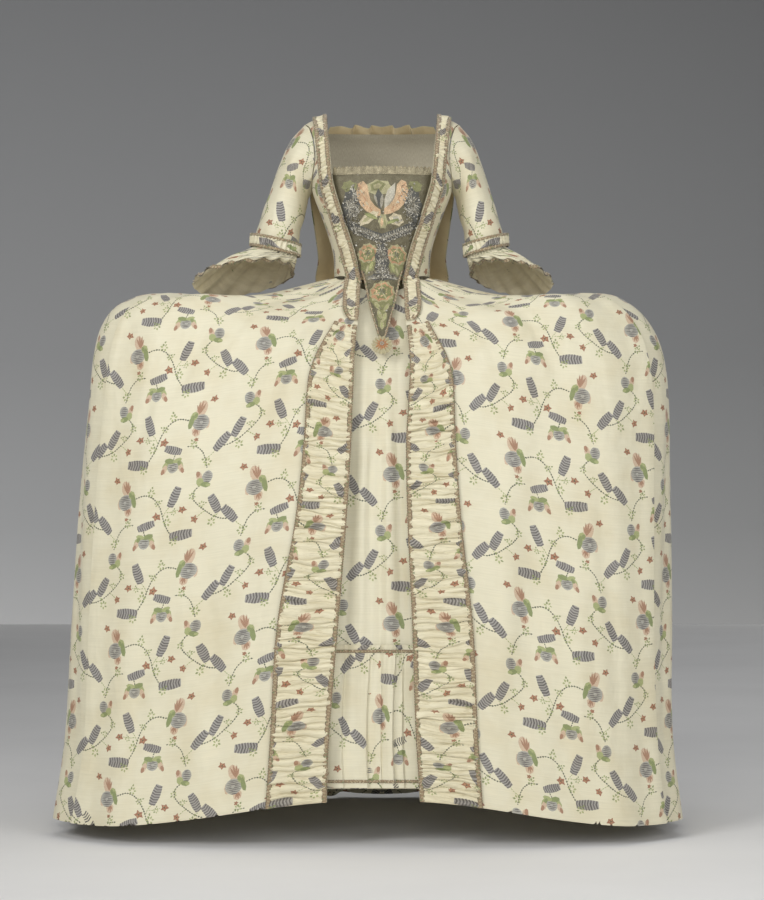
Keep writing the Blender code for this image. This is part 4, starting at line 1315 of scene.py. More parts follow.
def seam_lapped(grid, flat, outward, inward=0.0014):
    """Adds a seam allowance, SEAM_LAP wide and a little inward, at both side edges."""
    normal = normals_of(grid, outward)
    columns = []
    for edge, inner in ((0, 1), (-1, -2)):
        away = grid[:, edge] - grid[:, inner]
        away /= np.maximum(np.linalg.norm(away, axis=1, keepdims=True), 1e-9)
        flat_away = flat[:, edge] - flat[:, inner]
        flat_away /= np.maximum(np.linalg.norm(flat_away, axis=1, keepdims=True), 1e-9)
        columns.append((grid[:, edge] + away * SEAM_LAP - normal[:, edge] * inward,
                        flat[:, edge] + flat_away * SEAM_LAP))
    grid = np.concatenate([columns[0][0][:, None], grid, columns[1][0][:, None]], axis=1)
    flat = np.concatenate([columns[0][1][:, None], flat, columns[1][1][:, None]], axis=1)
    return grid, flat


def panel(name, grid, outward, creases, held, offset, seed, *nodes, from_column=0, rests_on=(), hem=True,
          lapped=False):
    flat = flat_map(grid, from_column, offset=offset)
    grid = creased(grid, outward, flat_map(grid, from_column), creases)
    if lapped:
        grid, flat = seam_lapped(grid, flat, outward)
    if hem:
        grid, flat = turned_hem(grid, flat, outward)
    shapes = brocade_shapes(flat.reshape(-1, 2).min(0), flat.reshape(-1, 2).max(0), seed)
    piece = cloth(name, grid, flat, outward, SILK, *nodes, shapes=shapes)
    declare(piece, flat)
    return piece, grid


SKIRT_FRONT_CREASES = {
    RIGHT: [
        Crease(0.185, 0.42, 0.30, 0.030, 0.0060, 0.10),
        Crease(0.245, 0.30, 0.26, 0.020, -0.0045, 0.14),
        Crease(0.320, 0.55, 0.30, 0.040, 0.0055, 0.05),
        Crease(0.390, 0.28, 0.22, 0.026, -0.0050, -0.06),
        Crease(0.140, 0.88, 0.10, 0.016, 0.0035, -0.35),
        Crease(0.260, 0.96, 0.09, 0.018, -0.0040, -0.55),
        Crease(0.330, 0.93, 0.10, 0.014, 0.0035, -0.45),
        Crease(0.410, 0.86, 0.12, 0.012, -0.0030, -0.20),
    ],
    LEFT: [
        Crease(0.180, 0.38, 0.30, 0.026, 0.0050, 0.08),
        Crease(0.250, 0.52, 0.34, 0.034, -0.0050, 0.10),
        Crease(0.330, 0.30, 0.24, 0.026, 0.0060, 0.02),
        Crease(0.400, 0.44, 0.30, 0.020, -0.0045, -0.05),
        Crease(0.150, 0.90, 0.09, 0.014, 0.0035, -0.40),
        Crease(0.280, 0.95, 0.10, 0.018, -0.0045, -0.50),
        Crease(0.350, 0.90, 0.11, 0.014, 0.0030, -0.30),
    ],
}
SKIRT_SIDE_CREASES = {
    RIGHT: [
        Crease(0.060, 0.50, 0.40, 0.020, -0.0040, 0.05),
        Crease(0.130, 0.35, 0.30, 0.024, 0.0060, 0.08),
        Crease(0.300, 0.60, 0.40, 0.022, -0.0060, 0.10),
        Crease(0.420, 0.40, 0.36, 0.030, 0.0070, 0.06),
        Crease(0.180, 0.92, 0.16, 0.010, -0.0060, 0.10),
        Crease(0.240, 0.94, 0.15, 0.012, 0.0050, 0.14),
    ],
    LEFT: [
        Crease(0.050, 0.48, 0.42, 0.018, -0.0045, 0.04),
        Crease(0.120, 0.60, 0.30, 0.026, 0.0060, 0.10),
        Crease(0.260, 0.42, 0.40, 0.024, -0.0065, 0.08),
        Crease(0.380, 0.55, 0.38, 0.028, 0.0065, 0.05),
        Crease(0.190, 0.93, 0.16, 0.011, -0.0060, 0.12),
        Crease(0.250, 0.95, 0.14, 0.012, 0.0050, 0.10),
    ],
}
SACK_CREASES = [
    Crease(0.130, 0.90, 0.55, 0.014, 0.0060, 0.10),
    Crease(0.180, 0.70, 0.50, 0.018, -0.0080, 0.14),
    Crease(0.300, 0.35, 0.40, 0.026, 0.0090, 0.12),
    Crease(0.080, 0.50, 0.50, 0.020, -0.0050, 0.05),
]


def skirt_trim_rows(side):
    """The trimming's own rows, from where it leaves the robing's tab down to the hem."""
    shares = np.linspace(0, 1, 200)
    rows = []
    for edge in SKIRT_EDGES:
        points = half_ring(SKIRT[edge.ring], side)
        first = arc_in_front(points, edge.left if side == LEFT else edge.right)
        seam = arc_in_front(points, SIDE_SEAM * np.abs(points[:, 0]).max())
        line = stretch(points, first, seam, shares)
        width = edge.trim_left - edge.left if side == LEFT else edge.trim_right - edge.right
        rows.append(stretch(line, 0, width, np.linspace(0, 1, 12)))
    grid, places = dense(rows, 0.01)
    return grid[places >= TRIM_FROM - 0.35]


def ruched_piece(name, rows, outward, spacing, height, seed, columns, fullness, *nodes,
                 offset=(0.0, 0.0)):
    grid, base = gathered(rows, outward, spacing, height, seed, columns)
    flat = ruched_map(grid, fullness) + offset
    shapes = brocade_shapes(flat.reshape(-1, 2).min(0), flat.reshape(-1, 2).max(0), seed)
    piece = cloth(name, grid, flat, outward, GATHERED_SILK, *nodes, shapes=shapes, slot="ruched_silk")
    return piece, base, flat


def edge_line(base, column, outward, inset, rise):
    """The line a braid follows along an edge of a strip, and the way it faces."""
    normal = normals_of(base, outward)
    inner = base[:, 1 if column == 0 else -2]
    inward = inner - base[:, column]
    inward /= np.maximum(np.linalg.norm(inward, axis=1, keepdims=True), 1e-9)
    line = base[:, column] + inward * inset + normal[:, column] * rise
    return line, normal[:, column]


def robing_rows(side, front, skirt):
    """The robing's strip: over the shoulder, down the bodice's edge and on to a tab on the skirt."""
    crest = FRONT_EDGES[-1].robing
    widths = [crest, crest] + [edge.robing for edge in reversed(FRONT_EDGES)]
    rows = []
    for row, width in zip(front[1:], widths):
        rows.append(stretch(row, 0, width, np.linspace(0, 1, 12)))
    tab = skirt[1] * 0.45 + skirt[2] * 0.55
    for row, width in ((skirt[0], 0.034), (skirt[1], 0.034), (tab, 0.019)):
        rows.append(stretch(row, 0.0, width, np.linspace(0, 1, 12)))
    return lifted(np.array(rows), -side, LIFT)


def make_side(side):
    name = SIDE_NAMES[side]
    front = bodice_front_rows(side, 40)
    skirt = skirt_front_rows(side, 200)
    grid, _ = dense(front, 0.007)
    flat = flat_map(grid, offset=(0.02, 0.05))
    shapes = brocade_shapes(flat.reshape(-1, 2).min(0), flat.reshape(-1, 2).max(0), 21 + side)
    piece = cloth(f"bodice_front_cloth_{name}", grid, flat, -side, SILK, f"bodice_front_{name}",
                  shapes=shapes)
    declare(piece, flat)

    panel(f"skirt_front_cloth_{name}", skirt_front_form(side), -side, SKIRT_FRONT_CREASES[side], "hung",
          (0.02, 0.03) if side == RIGHT else (0.11, 0.12), 3 + side, f"skirt_front_{name}")
    panel(f"skirt_side_cloth_{name}", skirt_side_form(side), -side, SKIRT_SIDE_CREASES[side], "hung",
          (0.0, 0.03), 7 + side, f"skirt_side_{name}", lapped=True)
    _, sack = panel(f"sack_back_cloth_{name}", sack_form(side), side, SACK_CREASES, "hung",
                    (0.0, 0.06), 11 + side, f"sack_back_{name}")
    upper = sack[: int((sack[:, 0, 2] > 1.12 - SHOULDER_HEIGHT).sum()), ::2]
    inner = lifted(upper, side, -0.0010)
    flat = flat_map(inner)
    lining = cloth(f"sack_back_lining_{name}", inner, flat, -side, BACK_LINING)
    declare(lining, flat)

    trim = lifted(skirt_trim_rows(side), -side, LIFT)
    silk, base, flat = ruched_piece(
        f"skirt_trim_silk_{name}", trim, -side, (0.0055, 0.0175), PUFF, 31 + side, 26, 1.18,
        f"skirt_trim_{name}")
    for place, column in (("inner", 0), ("outer", -1)):
        line, normal = edge_line(base, column, -side, BRAID_WIDTH / 2, 0.0026)
        fly_braid(f"skirt_trim_fly_braid_{place}_{name}", line, normal, BRAID_WIDTH, BRAID,
                                f"skirt_trim_braid_{place}_{name}", seed=41 + column)
    declare(silk, flat)

    strip = robing_rows(side, front, skirt)
    silk, base, flat = ruched_piece(
        f"robing_silk_{name}", strip, -side, (0.0050, 0.0115), 0.0034, 51 + side, 11, 1.18, f"robing_{name}")
    for place, column in (("inner", 0), ("outer", -1)):
        line, normal = edge_line(base, column, -side, 0.0045, 0.0026)
        fly_braid(f"robing_fly_braid_{place}_{name}", line, normal, 0.0095, BRAID,
                                f"robing_braid_{place}_{name}", seed=61 + column)
    declare(silk, flat)
    make_sleeve(side, front)


SLEEVE_SIDES = 64


def make_sleeve(side, front):
    name = SIDE_NAMES[side]
    back = bodice_back_rows(6)
    loop = armhole(side, front, back, SLEEVE_SIDES)
    rows = np.array([loop] + [tube_ring(row, side, SLEEVE_SIDES) for row in SLEEVE])
    grid, _ = dense(rows, 0.006)
    flat = flat_map(grid, offset=(0.03, 0.02))
    shares = np.linspace(0, 2 * math.pi, SLEEVE_SIDES + 1)
    height = flat[..., 1] - flat[-1:, :, 1]
    soft = 0.0018 * np.sin(height / 0.0095 + 1.5 * np.sin(shares)[None])
    soft = soft * np.exp(-((height - 0.035) / 0.035) ** 2)
    soft = soft * (0.4 + 0.6 * np.cos(shares - math.pi)[None].clip(0, 1))
    grid = lifted(grid, side, soft, tube=True)
    shapes = brocade_shapes(flat.reshape(-1, 2).min(0), flat.reshape(-1, 2).max(0), 71 + side)
    piece = cloth(f"sleeve_cloth_{name}", grid, flat, side, SILK, f"sleeve_{name}", shapes=shapes, tube=True)
    declare(piece, flat)

    rows = np.array([tube_ring(row, side, SLEEVE_SIDES) for row in CUFF])
    make_cuff(side, rows)
    make_flounce(side)


def make_cuff(side, rows):
    """A ruched band round the end of the sleeve, with a braid at its top edge."""
    name = SIDE_NAMES[side]
    base, _ = dense(rows, 0.0022)
    count = base.shape[1]
    turn = np.arange(count) * 2 * math.pi / (count - 1)
    fine = np.linspace(0, 1, 361)
    grid = np.stack([np.column_stack([
        np.interp(fine, np.arange(count) / (count - 1), row[:, axis]) for axis in range(3)]) for row in base])
    angle = fine * 2 * math.pi
    share = np.linspace(0, 1, len(grid))[:, None]
    gather = 0.0015 * np.sin(angle * 38 + 1.9 * np.sin(angle * 5) + 2.6 * share)
    crown = 0.0016 * np.sin(math.pi * share) ** 0.7 - 0.0012 * np.exp(-((share - 0.5) / 0.12) ** 2)
    grid = lifted(grid, side, crown + gather * np.sin(math.pi * share) ** 0.5, tube=True)
    flat = flat_map(grid, gather=(1.0, 1.0))
    shapes = brocade_shapes(flat.reshape(-1, 2).min(0), flat.reshape(-1, 2).max(0), 81 + side)
    piece = cloth(f"cuff_silk_{name}", grid, flat, side, SILK, f"cuff_{name}", shapes=shapes,
                  slot="ruched_silk", tube=True)
    normal = normals_of(base, side, tube=True)
    for place, row in (("upper", 1), ("lower", -2)):
        fly_braid(f"cuff_fly_braid_{place}_{name}", base[row] + normal[row] * 0.0012,
                                normal[row],
                                0.0062, BRAID, seed=91 + row)
    declare(piece, flat)


def make_flounce(side):
    """The sleeve flounce: a pleated outer layer, a plain lining just inside it, and a braid on its edge."""
    name = SIDE_NAMES[side]
    sides = 240
    rows = []
    for index, row in enumerate(FLOUNCE):
        share = max(0, index - 1) / (len(FLOUNCE) - 2)
        rows.append(tube_ring(row, side, sides, FLOUNCE_RISE * share))
    grid, places = dense(rows, 0.005)
    angle = np.linspace(0, 2 * math.pi, sides + 1)
    share = np.clip((places - 0.7) / (len(FLOUNCE) - 1.7), 0, 1)[:, None]
    pleats = np.sin(angle * 15 + 0.9 * np.sin(angle * 3) + 0.6)
    fine = np.sin(angle * 38 + 1.2 * np.sin(angle * 4))
    out = 0.0034 * share * pleats + 0.0018 * (1 - share) ** 2 * fine * (places > 0.3)[:, None]
    grid = lifted(grid, side, out, tube=True)
    flat = flat_map(grid, offset=(0.0, 0.01))
    shapes = brocade_shapes(flat.reshape(-1, 2).min(0), flat.reshape(-1, 2).max(0), 101 + side)
    piece = cloth(f"sleeve_flounce_cloth_{name}", grid, flat, side, SILK, f"sleeve_flounce_{name}",
                  shapes=shapes, tube=True)
    inner = lifted(grid, side, -0.0009, tube=True)[:, ::2]
    inner_flat = flat[:, ::2]
    lining = cloth(f"sleeve_flounce_lining_{name}", inner, inner_flat, -side, LINING, tube=True)
    normal = normals_of(grid, side, tube=True)
    braid = fly_braid(f"sleeve_flounce_fly_braid_{name}", grid[-2] + normal[-2] * 0.0010, normal[-2], 0.009,
                      BRAID,
                      f"sleeve_flounce_braid_{name}", seed=111)
    declare(piece, flat)
    declare(lining, inner_flat)


PETTICOAT_CREASES = [
    Crease(0.303, 0.45, 0.40, 0.006, -0.0045, 0.00),
    Crease(0.318, 0.45, 0.40, 0.012, 0.0035, 0.00),
    Crease(0.268, 0.50, 0.30, 0.009, 0.0040, 0.02),
    Crease(0.282, 0.60, 0.22, 0.006, -0.0035, 0.02),
    Crease(0.235, 0.42, 0.32, 0.014, -0.0045, 0.03),
    Crease(0.340, 0.52, 0.34, 0.007, -0.0040, -0.02),
    Crease(0.362, 0.42, 0.36, 0.012, 0.0050, -0.03),
    Crease(0.385, 0.42, 0.32, 0.010, -0.0050, -0.02),
    Crease(0.200, 0.42, 0.30, 0.018, 0.0050, 0.02),
    Crease(0.425, 0.36, 0.28, 0.018, 0.0045, -0.02),
    Crease(0.290, 0.74, 0.12, 0.006, 0.0025, 0.16),
    Crease(0.325, 0.74, 0.12, 0.006, -0.0025, -0.14),
]


def make_petticoat():
    rows = petticoat_rows(46)
    grid, _ = dense(rows)
    middle = grid.shape[1] // 2
    flat = flat_map(grid, middle, offset=(0.305, 0.20))
    grid = creased(grid, -1, flat - (0, 0.20), PETTICOAT_CREASES)
    shown = np.abs(grid[..., 0]) < 0.17
    shapes = brocade_shapes(flat[shown].min(0), flat[shown].max(0), 121)
    front = cloth("petticoat_front_cloth", grid, flat, -1, SILK, "petticoat_front", shapes=shapes)
    declare(front, flat)

    back, _ = dense(petticoat_rows(60, behind=True), 0.024)
    flat = flat_map(back, offset=(0.1, 0.20))
    piece = cloth("petticoat_back_cloth", back, flat, -1, SILK, "petticoat_back")
    declare(piece, flat)
    make_petticoat_flounce(grid)


def sharp_pleat(x, place, reach, depth):
    """A pleat's profile: it rises slowly to its edge, then drops over the next one."""
    before = place - x
    rise = depth * np.exp(-np.maximum(before, 0) / reach) * smooth_step((before + 0.0026) / 0.0026)
    hollow = 0.45 * depth * np.exp(-np.maximum(-before, 0) / (reach * 0.5))
    return rise - hollow * smooth_step(-before / 0.002)


FLOUNCE_PLEATS = [
    (-0.245, 0.020, 0.0060), (-0.190, 0.016, 0.0050), (-0.120, 0.022, 0.0070), (-0.078, 0.014, 0.0050),
    (-0.028, 0.016, 0.0068), (0.000, 0.012, 0.0030), (0.025, 0.015, 0.0085), (0.046, 0.010, 0.0050),
    (0.092, 0.018, 0.0060), (0.150, 0.022, 0.0065), (0.205, 0.016, 0.0055), (0.262, 0.018, 0.0060),
]


def make_petticoat_flounce(front):
    """The gathered flounce: a heading of small pleats, folds below, braid at both edges."""
    columns = 360
    shares = np.linspace(0.01, 0.99, columns)
    heights = front[:, front.shape[1] // 2, 2] + SHOULDER_HEIGHT
    lines = []
    levels_down = np.concatenate([
        np.linspace(FLOUNCE_HEADING + 0.004, FLOUNCE_HEADING - 0.03, 12),
        np.linspace(FLOUNCE_HEADING - 0.036, FLOUNCE_END - 0.006, 38),
    ])
    for height in levels_down:
        just_under = height - 0.0005
        below = int(np.argmax(heights < just_under)) if heights[-1] < just_under else len(heights) - 1
        above = below - 1
        share = (heights[above] - height) / (heights[above] - heights[below])
        level = front[above] * (1 - share) + front[below] * share
        lines.append(along_line(level, shares * arcs(level)[-1]))
    grid = np.array(lines)
    x = (shares - 0.5) * 0.62
    down = (levels_down[0] - levels_down) / (levels_down[0] - levels_down[-1])
    drift = x[None] + 0.006 * np.sin(down * 3.0)[:, None]
    pleats = sum(sharp_pleat(drift, place, reach, depth) for place, reach, depth in FLOUNCE_PLEATS)
    fine = 0.5 + 0.5 * np.sin(drift / 0.0026 + 2.4 * np.sin(x / 0.021)[None])
    crowd = 0.35 + 0.65 * np.exp(-((np.abs(x) - 0.030) / 0.030) ** 2)
    small = fine * crowd[None] * (0.0030 * np.exp(-down / 0.22)[:, None] + 0.0004)
    broad = (0.5 + 0.5 * np.sin(x / 0.019 + 1.7 * np.sin(x / 0.05) + 1.1))[None] * 0.0030 * down[:, None]
    pinch = 1 - 0.80 * np.exp(-((down - 0.045) / 0.022) ** 2)[:, None]
    grid = lifted(grid, -1, 0.0030 + (pleats * (0.55 + 0.45 * down[:, None]) + small + broad) * pinch)
    flat = flat_map(grid, columns // 2, offset=(0.33, 0.09))
    shapes = brocade_shapes(flat.reshape(-1, 2).min(0), flat.reshape(-1, 2).max(0), 131)
    piece = cloth("petticoat_flounce_cloth", grid, flat, -1, SILK, "petticoat_flounce", shapes=shapes)
    normal = normals_of(grid, -1)
    for name, row in (("heading", 4), ("hem", -3)):
        line = (grid[row - 1] + grid[row] + grid[row + 1]) / 3
        fly_braid(f"petticoat_{name}_fly_braid", line + normal[row] * 0.0008, normal[row],
                                0.0065, BRAID,
                                f"petticoat_{name}_braid", seed=141 + row)
    declare(piece, flat)


STOMACHER_DYES = {
    "ground": (0.158, 0.146, 0.098), "silver": (0.330, 0.318, 0.275), "moss": (0.225, 0.235, 0.105),
    "field": (0.400, 0.390, 0.240), "cream": (0.590, 0.540, 0.410), "salmon": (0.500, 0.300, 0.180),
    "blush": (0.610, 0.440, 0.290), "slate": (0.085, 0.088, 0.085), "pearl": (0.520, 0.510, 0.460),
}


def scalloped(across, up, lobes, depth=0.12):
    angle = np.arange(lobes * 3) * 2 * math.pi / (lobes * 3)
    reach = 1 + depth * np.cos(angle * lobes)
    return np.column_stack([across * reach * np.cos(angle), up * reach * np.sin(angle)])


def ring_flower(size=1.0, turn=0):
    """A loose open flower: a broken salmon ring, mossy inside, with a dark heart."""
    shapes = [
        ("field", scalloped(24, 22, 11, 0.09)), ("salmon", scalloped(21, 19, 8, 0.11)),
        ("moss", scalloped(16.5, 15, 7, 0.13) + (1.5, -1)), ("blush", scalloped(11.5, 10, 6, 0.16) + (-1, 1)),
        ("moss", scalloped(8.5, 8, 5, 0.16)), ("slate", scalloped(5, 6.5, 4, 0.2) + (1, 0)),
    ]
    for spoke in range(7):
        shapes.append(("field" if spoke % 2 else "moss", blade(0, 0, spoke * 51 + 14, 21, 3.4) * (1, 0.95)))
    return [(dye, turned(shape, turn) * size) for dye, shape in shapes]


def spray(x, y, first, last, count, length, random):
    """A fan of metal strips on a dark patch."""
    shapes = []
    for turn in np.linspace(first, last, count):
        reach = length * random.uniform(0.7, 1.1)
        dye = "silver" if random.random() < 0.75 else "pearl"
        shapes.append((dye, blade(x, y, turn + random.normal(0, 5), reach, random.uniform(1.4, 2.3))))
    return shapes


def stomacher_shapes():
    """The stomacher's embroidery, in millimetres from its middle and up from its tip."""
    random = np.random.default_rng(17)
    shapes = []

    def place(made, x, y, turn=0, size=1.0):
        for dye, shape in made:
            shapes.append((dye, turned(np.asarray(shape) * size, turn) + (x, y)))

    for side in (-1, 1):
        place([("moss", scalloped(17, 11, 7, 0.14))], side * 66, 334, side * 24)
        place([("slate", scalloped(19, 30, 8, 0.13))], side * 63, 300, side * 6)
        for x, y, first in ((60, 282, 20), (62, 300, -40), (58, 316, 60), (68, 292, 100)):
            place(spray(0, 0, first, first + 220, 9, 19, random), side * x, y, 0 if side > 0 else 180)
    band = np.array([
        (74, 278), (58, 262), (38, 250), (20, 240), (0, 233), (-20, 240), (-38, 250), (-58, 262), (-74, 278),
        (-70, 254), (-50, 236), (-24, 222), (0, 214), (24, 222), (50, 236), (70, 254),
    ])
    place([("slate", band)], 0, 0)
    for step in range(26):
        x = -56 + step * 4.5
        place(spray(0, 0, 0, 300, 4, 8, random), x, 222 + abs(x) * 0.5)

    place([("field", scalloped(26, 15, 7, 0.12))], -6, 326)
    place([("moss", scalloped(15, 10, 5, 0.16)), ("field", scalloped(9, 5, 5, 0.14))], -9, 329, 12)
    for x, y, turn, reach, wide in ((5, 283, 68, 58, 17), (10, 280, 60, 46, 6)):
        place([("pearl" if wide > 9 else "silver", blade(0, 0, turn, reach, wide))], x, y)
    for x, y, turn, reach, wide in ((-3, 282, 96, 42, 18), (-2, 284, 84, 30, 7), (-9, 290, 106, 26, 5)):
        place([("slate" if wide > 9 else "silver", blade(0, 0, turn, reach, wide))], x, y)
    for side, lift, lean in ((-1, 0, 0), (1, 3, 5)):
        petal = np.array([
            (2, 268), (16, 271), (32, 280), (43, 293), (50, 308), (52, 322), (47, 338), (38, 341), (29, 331),
            (27, 316), (23, 301), (14, 289), (3, 281),
        ], float) * (side, 1) + (0, lift)
        place([("blush", petal)], lean * side * 0.3, 0)
        for spot, tone in ((0.20, "salmon"), (0.42, "cream"), (0.60, "salmon"), (0.80, "cream"),
                           (0.95, "salmon")):
            x = 12 + 32 * spot**0.8
            y = 275 + 60 * spot**1.4 + lift
            place([(tone, blade(0, 0, 62 - 10 * spot, 17, 3.2) * (side, 1))], side * (x - 3), y - 6)
            place([("salmon", blade(0, 0, 118, 11, 2.4) * (side, 1))], side * (x + 4), y - 9)
    place([("cream", scalloped(22, 9, 7, 0.13)), ("field", scalloped(14, 4, 6, 0.16))], -27, 266, 28)
    place([("green", blade(0, 0, 152, 34, 9)), ("leaf", blade(-2, 0, 152, 26, 4))], -8, 262)
    place([("cream", scalloped(14, 12, 6, 0.13)), ("pearl", scalloped(8, 7, 5, 0.18))], 29, 263, -10)
    place([("moss", scalloped(4, 3.4, 5, 0.2))], 31, 262)
    place([("green", blade(0, 0, 24, 30, 7)), ("leaf", blade(2, 0, 24, 22, 3))], 6, 252)
    place([("field", scalloped(9, 15, 6, 0.14)), ("blush", blade(-2, 8, -92, 20, 6)),
           ("moss", blade(3, 6, -84, 18, 3))], 2, 258)

    for side, up, size in ((-1, 196, 0.86), (1, 192, 0.92)):
        place([("moss", scalloped(17, 26, 8, 0.12))], side * 27, up - 14, side * 10)
        place(ring_flower(size, side * 20), side * 29, up)
        place([("leaf", oval(0, 0, 3.5, 9)), ("field", oval(side * 6, -8, 2.4, 8))], side * 22, up - 26,
              side * 18)
    place([("slate", scalloped(14, 38, 9, 0.12))], 0, 176)
    for y, first in ((150, 20), (158, 160), (172, 60), (186, 240), (200, 100)):
        place(spray(0, 0, first, first + 260, 9, 15, random), random.normal(0, 3), y)
    place([("slate", scalloped(30, 7, 9, 0.16))], 0, 146)
    for x in (-24, -14, -4, 6, 16, 25):
        place(spray(0, 0, 10, 170, 5, 8, random), x, 143)
    place([("moss", scalloped(25, 32, 9, 0.08))], 0, 104)
    place(ring_flower(1.08, 30), 0, 112)
    place([("moss", scalloped(10, 34, 8, 0.1))], 0, 52)
    for x, y, turn in ((-9, 78, 25), (9, 74, -25), (-5, 56, 16), (5, 50, -16), (0, 30, 0)):
        place([("field", oval(0, 0, 4.5, 12)), ("leaf", oval(0, 0, 1.8, 8))], x, y, turn)
    return [(dye, np.asarray(shape) * MM) for dye, shape in shapes]


def stomacher_spots(random):
    """Where the spangles are sewn, in millimetres: sprays at the sides, a band, and two clusters."""
    spots = []
    for side in (-1, 1):
        for _ in range(120):
            spots.append((side * random.normal(57, 9), random.normal(290, 24)))
        for step in range(34):
            share = step / 33
            along = random.normal(0, 1.4)
            spots.append((side * (2 + 60 * share), 222 + 30 * share**1.1 + along))
            spots.append((side * (2 + 58 * share), 215 + 28 * share**1.1 + along))
    for _ in range(56):
        spots.append((random.normal(0, 11), 153 + random.normal(0, 6)))
    for _ in range(40):
        spots.append((random.normal(0, 7), random.uniform(160, 215)))
    for _ in range(70):
        spots.append((random.uniform(-70, 70), random.uniform(20, 330)))
    return spots


def on_board(grid, flat, spots):
    """The points and grid places of spots on the flat cloth, leaving out any that miss it."""
    nodes = flat.reshape(-1, 2)
    spots = np.array(spots) * MM
    nearest = ((spots[:, None] - nodes[None]) ** 2).sum(2).argmin(1)
    guess = np.column_stack([nearest % flat.shape[1], nearest // flat.shape[1]]).astype(float)
    place, good = places_on(flat, spots, guess)
    inside = good & (place > 0.6).all(1) & (place < (flat.shape[1] - 1.6, flat.shape[0] - 1.6)).all(1)
    return place[inside]


def make_spangles(name, place, grid, outward, seed):
    """Dished metal discs, and short bent lengths of purl among them."""
    random = np.random.default_rng(seed)
    points = bilinear(grid, place[:, 0], place[:, 1])
    normals = bilinear(normals_of(grid, outward), place[:, 0], place[:, 1])
    vertices = []
    faces = []
    for index, (point, normal) in enumerate(zip(points, normals)):
        across = np.cross(normal, (0, 0, 1))
        across /= max(np.linalg.norm(across), 1e-9)
        up = np.cross(across, normal)
        start = len(vertices)
        if index % 3 == 0:
            turn = random.uniform(0, math.pi)
            along = across * math.cos(turn) + up * math.sin(turn)
            out = np.cross(along, normal) * 0.00055
            half = random.uniform(0.0022, 0.0042)
            for step in (-1, 0, 1):
                middle = point + along * half * step + normal * (0.0013 if step else 0.0022)
                vertices += [(middle - out).tolist(), (middle + normal * 0.0007).tolist(),
                             (middle + out).tolist()]
            for step in (0, 3):
                faces += [[start + step, start + step + 1, start + step + 4, start + step + 3],
                          [start + step + 1, start + step + 2, start + step + 5, start + step + 4]]
            continue
        tilt = random.normal(0, 0.3, 2)
        size = random.uniform(0.0011, 0.0021)
        for spoke in range(8):
            angle = spoke * math.pi / 4
            x, y = math.cos(angle) * size, math.sin(angle) * size
            vertices.append((point + across * x + up * y + normal * (0.0012 + x * tilt[0] + y * tilt[1])).tolist())
        vertices.append((point + normal * 0.0007).tolist())
        for spoke in range(8):
            faces.append([start + spoke, start + (spoke + 1) % 8, start + 8])
    mesh = bpy.data.meshes.new(name)
    mesh.from_pydata(vertices, [], faces)
    return new_piece(name, mesh, METAL, slot="silver_brocade", smooth=False)


def make_stomacher():
    rows = []
    across = np.linspace(-1, 1, 61)
    for row in STOMACHER:
        x = across * row.half_width
        y = -(row.edge + (row.centre - row.edge) * (1 - across**2))
        rows.append(np.column_stack([x, y, 0 * x + row.height - SHOULDER_HEIGHT]))
    grid, _ = dense(rows, 0.004)
    middle = grid.shape[1] // 2
    flat = flat_map(grid, middle)
    piece = cloth("stomacher_silk", grid, flat, -1, SILVER, "stomacher", shapes=stomacher_shapes(),
                  slot="silver_brocade", tints=STOMACHER_DYES)
    make_spangles("stomacher_spangles", on_board(grid, flat, stomacher_spots(np.random.default_rng(5))),
                  grid, -1, 6)
    normal = normals_of(grid, -1)
    for column, side in ((1, "right"), (-2, "left")):
        from_row = int(len(grid) * 0.56)
        line = (grid[:, column] + normal[:, column] * 0.0010)[from_row:]
        fly_braid(f"stomacher_edge_braid_{side}", line, normal[from_row:, column], 0.0045, BRAID,
                              seed=151 + column)
    declare(piece, flat)
    make_lace(grid)
    make_rosette()


def make_lace(board):
    """A narrow metal lace standing at the top edge, its border in small scallops."""
    top = board[0][2:-2]
    lengths = arcs(top)
    count = 340
    place = np.linspace(0, lengths[-1], count)
    line = along_line(top, place)
    scallop = np.abs(np.sin(place * math.pi / 0.0085))
    rows = []
    for share in np.linspace(0, 1, 7):
        height = (0.0090 + 0.0042 * scallop) * (1 - share) - 0.004 * share
        row = line.copy()
        row[:, 2] += height
        row[:, 1] -= 0.0016 + 0.0022 * (1 - share) + 0.0010 * np.sin(place / 0.0032) * (1 - share)
        rows.append(row)
    grid = np.array(rows)
    flat = flat_map(grid)
    piece = cloth("stomacher_lace_edge", grid, flat, -1, LACE, "stomacher_lace", slot="silver_lace")
    declare(piece, flat)


